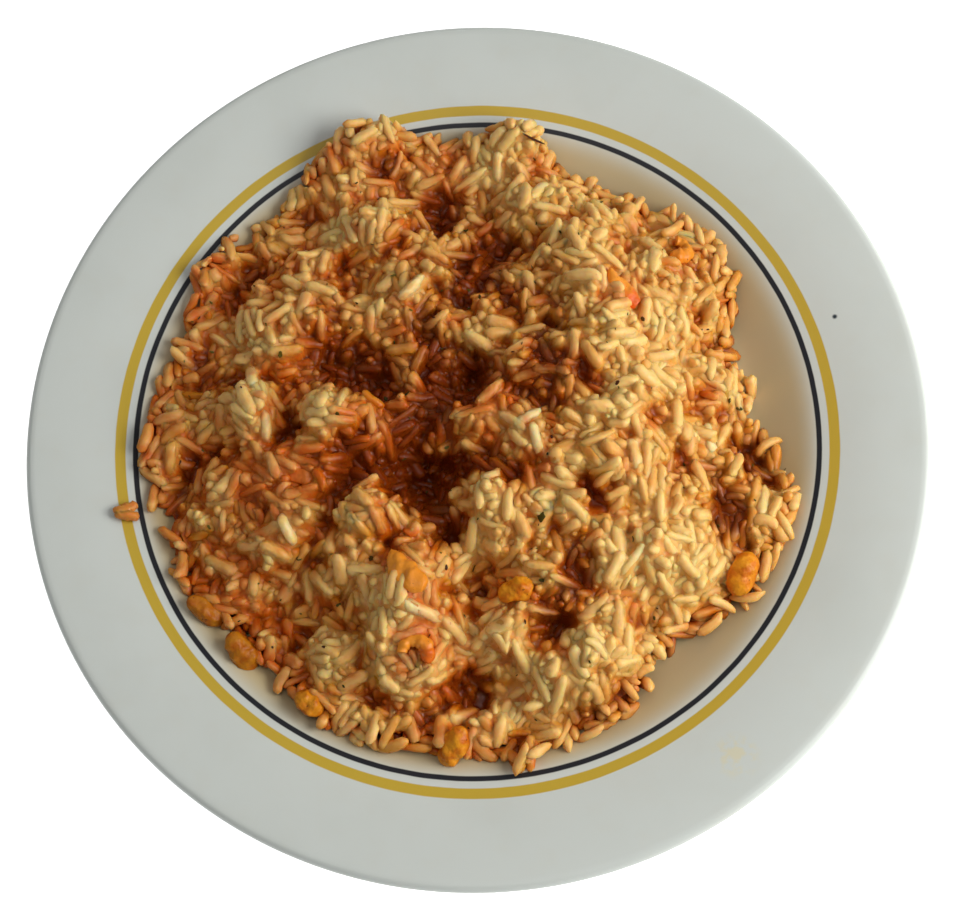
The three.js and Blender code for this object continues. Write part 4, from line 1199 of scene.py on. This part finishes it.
def seafoodBodies():
    # The room each piece of seafood takes, as rods, so that the grains lie round it.
    rows = []
    for piece in seafood:
        middle, turn, tip = seafoodPlace(piece)
        way = np.array([np.cos(tip) * np.cos(turn), np.cos(tip) * np.sin(turn), np.sin(tip)])
        across = np.array([-np.sin(turn), np.cos(turn), 0])
        radius = piece[6] * seafoodForm["room"]
        if piece[1] == "curl":
            step, less, thick = seafoodForm["curl"]["room"]
            rows += [(middle + k * step * across, way, piece[5] / 2 - less, thick) for k in (-1, 0, 1)]
        else:
            rows.append((middle, way, piece[5] / 2 - radius, radius))
    centre, way, half, radius = (np.array([row[k] for row in rows]) for k in range(4))
    none = np.zeros(len(rows))
    lift = none + grainPack["freeLift"]
    return {"centre": centre, "way": way, "half": half, "radius": radius, "lift": lift, "weight": none}


meats = {
    "prawn": {
        "name": "cookedPrawn", "coat": 0.12, "coatRoughness": 0.15, "specular": 0.25, "mottle": 2.4,
        "roughness": 0.26, "glossSize": 1.2, "bumpSize": 0.9, "depth": 0.3, "strength": 0.7,
        "flesh": (237, 148, 41), "red": (214, 76, 0),
        "specks": (120, 40, 16), "speckSize": 0.9, "speckSteps": (0.7, 0.76),
    },
    "shellfish": {
        "name": "musselMeat", "coat": 0.05, "coatRoughness": 0.22, "specular": 0.25, "mottle": 3.2,
        "roughness": 0.3, "glossSize": 1.4, "bumpSize": 1.1, "depth": 0.5, "strength": 0.8,
        "yellow": (240, 158, 30), "orange": (206, 104, 4), "fold": (140, 56, 2), "brown": (140, 72, 0),
        "specks": (96, 46, 16), "speckSize": 1.1, "speckSteps": (0.69, 0.75),
    },
    "squid": {
        "name": "squidStrip", "coat": 0.2, "coatRoughness": 0.2, "specular": 0.35, "mottle": 3.0,
        "roughness": 0.28, "glossSize": 1.4, "bumpSize": 1.1, "depth": 0.25, "strength": 0.7,
        "red": (200, 66, 0), "pink": (228, 122, 36),
    },
}


def prawnPaint(look, tree, mottle):
    # Cooked prawn: even orange flesh, redder towards its broad end.
    red = (1 - tree.value("along")) * 1.1 + (mottle - 0.5) * 0.8 + tree.value("upper") * 0.15
    share = red.step(0.62, 1.15) * tree.value("blush") * 0.85
    return share.mix(colour(*look["flesh"]), colour(*look["red"]))


def shellfishPaint(look, tree, mottle):
    # Mussel and clam meat: yellow-orange, with painted shade in brown on its lower side, and over the whole
    # piece by its share.
    body = mottle.step(0.35, 0.68).mix(colour(*look["yellow"]), colour(*look["orange"]))
    body = (tree.value("upper").step(0.5, -0.7) * 0.85).mix(body, colour(*look["fold"]))
    # Painted shade: each piece is browned by its own share.
    return (tree.value("blush") * 0.6).mix(body, colour(*look["brown"]))


def squidPaint(look, tree, mottle):
    # A strip of squid stained by the sauce: pinkish orange, redder to one side.
    pink = (tree.value("along") + (mottle - 0.5) * 1.2).step(0.2, 0.9)
    return pink.mix(colour(*look["red"]), colour(*look["pink"]))


meatPaints = {"prawn": prawnPaint, "shellfish": shellfishPaint, "squid": squidPaint}


def makeMeatFinish(look, paint):
    # The paint of one kind of seafood, with dark specks where it has them, under a wet gloss.
    material, tree, shader = newFinish(look["name"], {
        "Specular IOR Level": look["specular"], "Coat Weight": look["coat"],
        "Coat Roughness": look["coatRoughness"],
    })
    body = paint(look, tree, tree.noise(look["mottle"], 3, 0.01))
    if "specks" in look:
        specks = tree.noise(look["speckSize"], 2, 0.05).step(*look["speckSteps"])
        body = specks.mix(body, colour(*look["specks"]))
    relief = tree.noise(look["bumpSize"], 3, 0.04)
    feed(tree, shader, {
        "Base Color": body,
        "Roughness": look["roughness"] + tree.noise(look["glossSize"], 2, 0.03) * 0.2,
        "Normal": bump(tree, relief, look["depth"], look["strength"]),
    })
    return material


herbs = {
    "drawn": (
        (17.6, -27.2, 4.6, 2.4, 100, 0.2), (16.5, 82, 7.5, 1.1, 2, 0.95),
    ),  # x, y, length, width, turn, tone
    "marked": (
        (-0.2, -38, 1.8), (-6.7, -39.9, 1.5), (17.9, -43.6, 2.2), (-16.5, 30, 1.2), (35, 12, 1.7),
        (83, -10, 1.2), (60, -37, 1.6), (-51.5, -16, 1.3), (45, 26, 1.4), (-62, -57, 1.6),
    ),  # x, y, length
    "count": 150, "length": (0.7, 2.0), "smallness": 2.2, "width": (0.3, 0.7), "margin": 3,
    "thickness": 0.12, "gap": 0.12, "rings": 7, "sides": 8, "ragged": (-0.35, 0.25), "blunt": 2.4,
    "curlAcross": (-0.25, 0.5), "curlAlong": (-0.15, 0.3), "tip": 0.04,
    "dark": (52, 44, 8), "light": (116, 104, 30), "spice": (70, 34, 14),
}


def topOfGrains(grains, x, y):
    # Height and upward direction of the highest grain over each place, from rods with round ends.
    centre, way, half, radius = grains["centre"], grains["way"], grains["half"], grains["radius"]
    dx, dy = x[:, None] - centre[:, 0], y[:, None] - centre[:, 1]
    level = np.maximum((way[:, :2] ** 2).sum(-1), 0.05)
    s = np.clip((dx * way[:, 0] + dy * way[:, 1]) / level, -half, half)
    ax, ay = dx - s * way[:, 0], dy - s * way[:, 1]
    rise = np.sqrt(np.maximum(radius**2 - ax * ax - ay * ay, 0))
    z = np.where(ax * ax + ay * ay < radius**2, centre[:, 2] + s * way[:, 2] + 0.9 * rise, -1)
    best = z.argmax(1)
    row = np.arange(len(x))
    up = unit(np.stack([ax[row, best], ay[row, best], rise[row, best] + 0.2], -1))
    return np.maximum(z[row, best], field.at(x, y) - 4), up


def buildHerbs(grains):
    # Curled leaf-shaped flakes, each a thin closed lens that lies on the grain below it.
    random = np.random.default_rng(8)
    count = herbs["count"]
    angle, share = random.uniform(0, tau, count), np.sqrt(random.random(count))
    reach = share * (outlineRadius(angle) - herbs["margin"])
    x, y = reach * np.cos(angle), reach * np.sin(angle)
    low, high = herbs["length"]
    length = low + (high - low) * random.random(count) ** herbs["smallness"]
    marked, drawn = np.array(herbs["marked"]), np.array(herbs["drawn"])
    x, y, length = (
        np.concatenate([drawn[:, k], marked[:, k], loose]) for k, loose in enumerate((x, y, length))
    )
    total = len(x)
    width = length * random.uniform(*herbs["width"], total)
    turn = random.uniform(0, tau, total)
    width[:len(drawn)], turn[:len(drawn)] = drawn[:, 3], np.radians(drawn[:, 4])
    z, up = topOfGrains(grains, x, y)
    ahead = np.stack([np.cos(turn), np.sin(turn), 0 * turn], -1)
    side = unit(np.cross(up, ahead))
    ahead = np.cross(side, up)
    rings, sides = herbs["rings"], herbs["sides"]
    t = -np.cos(np.pi * (np.arange(rings) + 0.6) / (rings + 0.2))[None, :, None]
    around = (tau * np.arange(sides) / sides)[None, None, :]
    ragged = 1 + random.uniform(*herbs["ragged"], (total, rings, sides)) * np.abs(np.cos(around))
    half, wide = length[:, None, None] / 2, width[:, None, None] / 2
    outline = np.sqrt(np.maximum(1 - np.abs(t) ** herbs["blunt"], 0))
    across = wide * outline * np.cos(around) * ragged
    curl = random.uniform(*herbs["curlAcross"], (total, 1, 1)) * (across / wide) ** 2 * wide
    curl = curl + random.uniform(*herbs["curlAlong"], (total, 1, 1)) * t * t * half
    height = herbs["thickness"] * (0.6 + 0.4 * outline) * np.sin(around) + curl + herbs["gap"]
    offsets = (half * t + 0 * around, across, height)
    body = carried(np.stack([x, y, z], -1), (ahead, side, up), offsets)
    first, last = (
        body[:, k].mean(1) + sign * herbs["tip"] * length[:, None] * ahead for k, sign in ((0, -1), (-1, 1))
    )
    points = closed(first, body, last)
    faces = repeatedFaces(total, rings, sides)
    tone = random.random(total)
    tone[:len(drawn)] = drawn[:, 5]
    tone = np.repeat(tone, points.shape[1])
    addPiece("herbFlecks", points.reshape(-1, 3), faces, makeHerbFinish(), [], {"tone": tone})


def makeHerbFinish():
    # Dried herb from dark to light green, and brown spice at the highest tones.
    material, tree, shader = newFinish("driedHerb", {"Specular IOR Level": 0.15})
    tone = tree.value("tone")
    body = tone.mix(colour(*herbs["dark"]), colour(*herbs["light"]))
    body = tone.step(0.7, 0.8).mix(body, colour(*herbs["spice"]))
    feed(tree, shader, {
        "Base Color": body,
        "Roughness": 0.45 + tree.noise(0.6, 2, 0.01) * 0.2,
        "Normal": bump(tree, tree.noise(0.4, 2, 0.02), 0.1, 0.7),
    })
    return material


view = {
    "place": (18.0, -129.7, 426.5), "aim": (1.42, -8.2, 16.0), "lens": 60.0, "sensor": 36.0,
    "clip": (0.01, 10),
}


def addCamera():
    # The photograph's view: its top is +Y and its right is +X.
    data = bpy.data.cameras.new("camera")
    data.lens = view["lens"]
    data.sensor_width = view["sensor"]
    data.clip_start, data.clip_end = view["clip"]
    camera = bpy.data.objects.new("camera", data)
    bpy.context.scene.collection.objects.link(camera)
    place, aim = Vector(view["place"]), Vector(view["aim"])
    back = (place - aim).normalized()
    right = Vector((0, 1, 0)).cross(back).normalized()
    above = back.cross(right)
    turn = Matrix((right, above, back)).transposed()
    camera.matrix_world = Matrix.Translation(place * mm) @ turn.to_4x4()
    bpy.context.scene.camera = camera


def addLight(name, direction, distance, size, power, tint):
    # A square soft light that faces the plate from a direction.
    data = bpy.data.lights.new(name, "AREA")
    data.size = size
    data.energy = power
    data.color = tint
    light = bpy.data.objects.new(name, data)
    bpy.context.scene.collection.objects.link(light)
    way = Vector(direction).normalized()
    light.matrix_world = (
        Matrix.Translation(way * distance) @ way.to_track_quat("Z", "Y").to_matrix().to_4x4()
    )


studio = {
    "lights": {
        "key": {
            "direction": (0.81, -0.1, 0.57), "distance": 0.55, "size": 0.38, "power": 2.85,
            "tint": (1, 0.98, 0.95),
        },
        "overhead": {
            "direction": (-0.02, 0.03, 1), "distance": 1.3, "size": 0.5, "power": 1.7, "tint": (1, 1, 1),
        },
        "back": {
            "direction": (0.2, 0.75, 0.62), "distance": 1.2, "size": 0.4, "power": 0.5,
            "tint": (0.96, 0.98, 1),
        },
    },
    "around": 0.2, "floorGlow": 0.9, "floorReach": 3, "look": "Medium Contrast",
}


def addStudio():
    # A pale floor, three soft lights, an even background and the way that brightness is shown.
    floor = bpy.data.meshes.new("floor")
    reach = studio["floorReach"]
    corners = [(-reach, -reach, 0), (reach, -reach, 0), (reach, reach, 0), (-reach, reach, 0)]
    floor.from_pydata(corners, [], [(0, 1, 2, 3)])
    material, _, _ = newFinish("paleFloor", {
        "Base Color": (0.9, 0.9, 0.91, 1), "Roughness": 0.8,
        "Emission Color": (1, 1, 1, 1), "Emission Strength": studio["floorGlow"],
    })
    floor.materials.append(material)
    ground = bpy.data.objects.new("floor", floor)
    bpy.context.scene.collection.objects.link(ground)
    for name, light in studio["lights"].items():
        addLight(name, **light)
    world = bpy.data.worlds.new("studio")
    world.use_nodes = True
    background = world.node_tree.nodes["Background"].inputs
    background["Color"].default_value = (1, 1, 1, 1)
    background["Strength"].default_value = studio["around"]
    bpy.context.scene.world = world
    bpy.context.scene.view_settings.view_transform = "Standard"
    bpy.context.scene.view_settings.look = studio["look"]


addCamera()
addStudio()
buildPlate()
grains = fillBare(packGrains(seafoodBodies()))
riceMaterial = makeRiceFinish()
buildBed(grains, riceMaterial)
buildGrains(grains, seafoodBodies(), riceMaterial)
buildScrap(riceMaterial)
buildSeafood()
buildHerbs(grains)
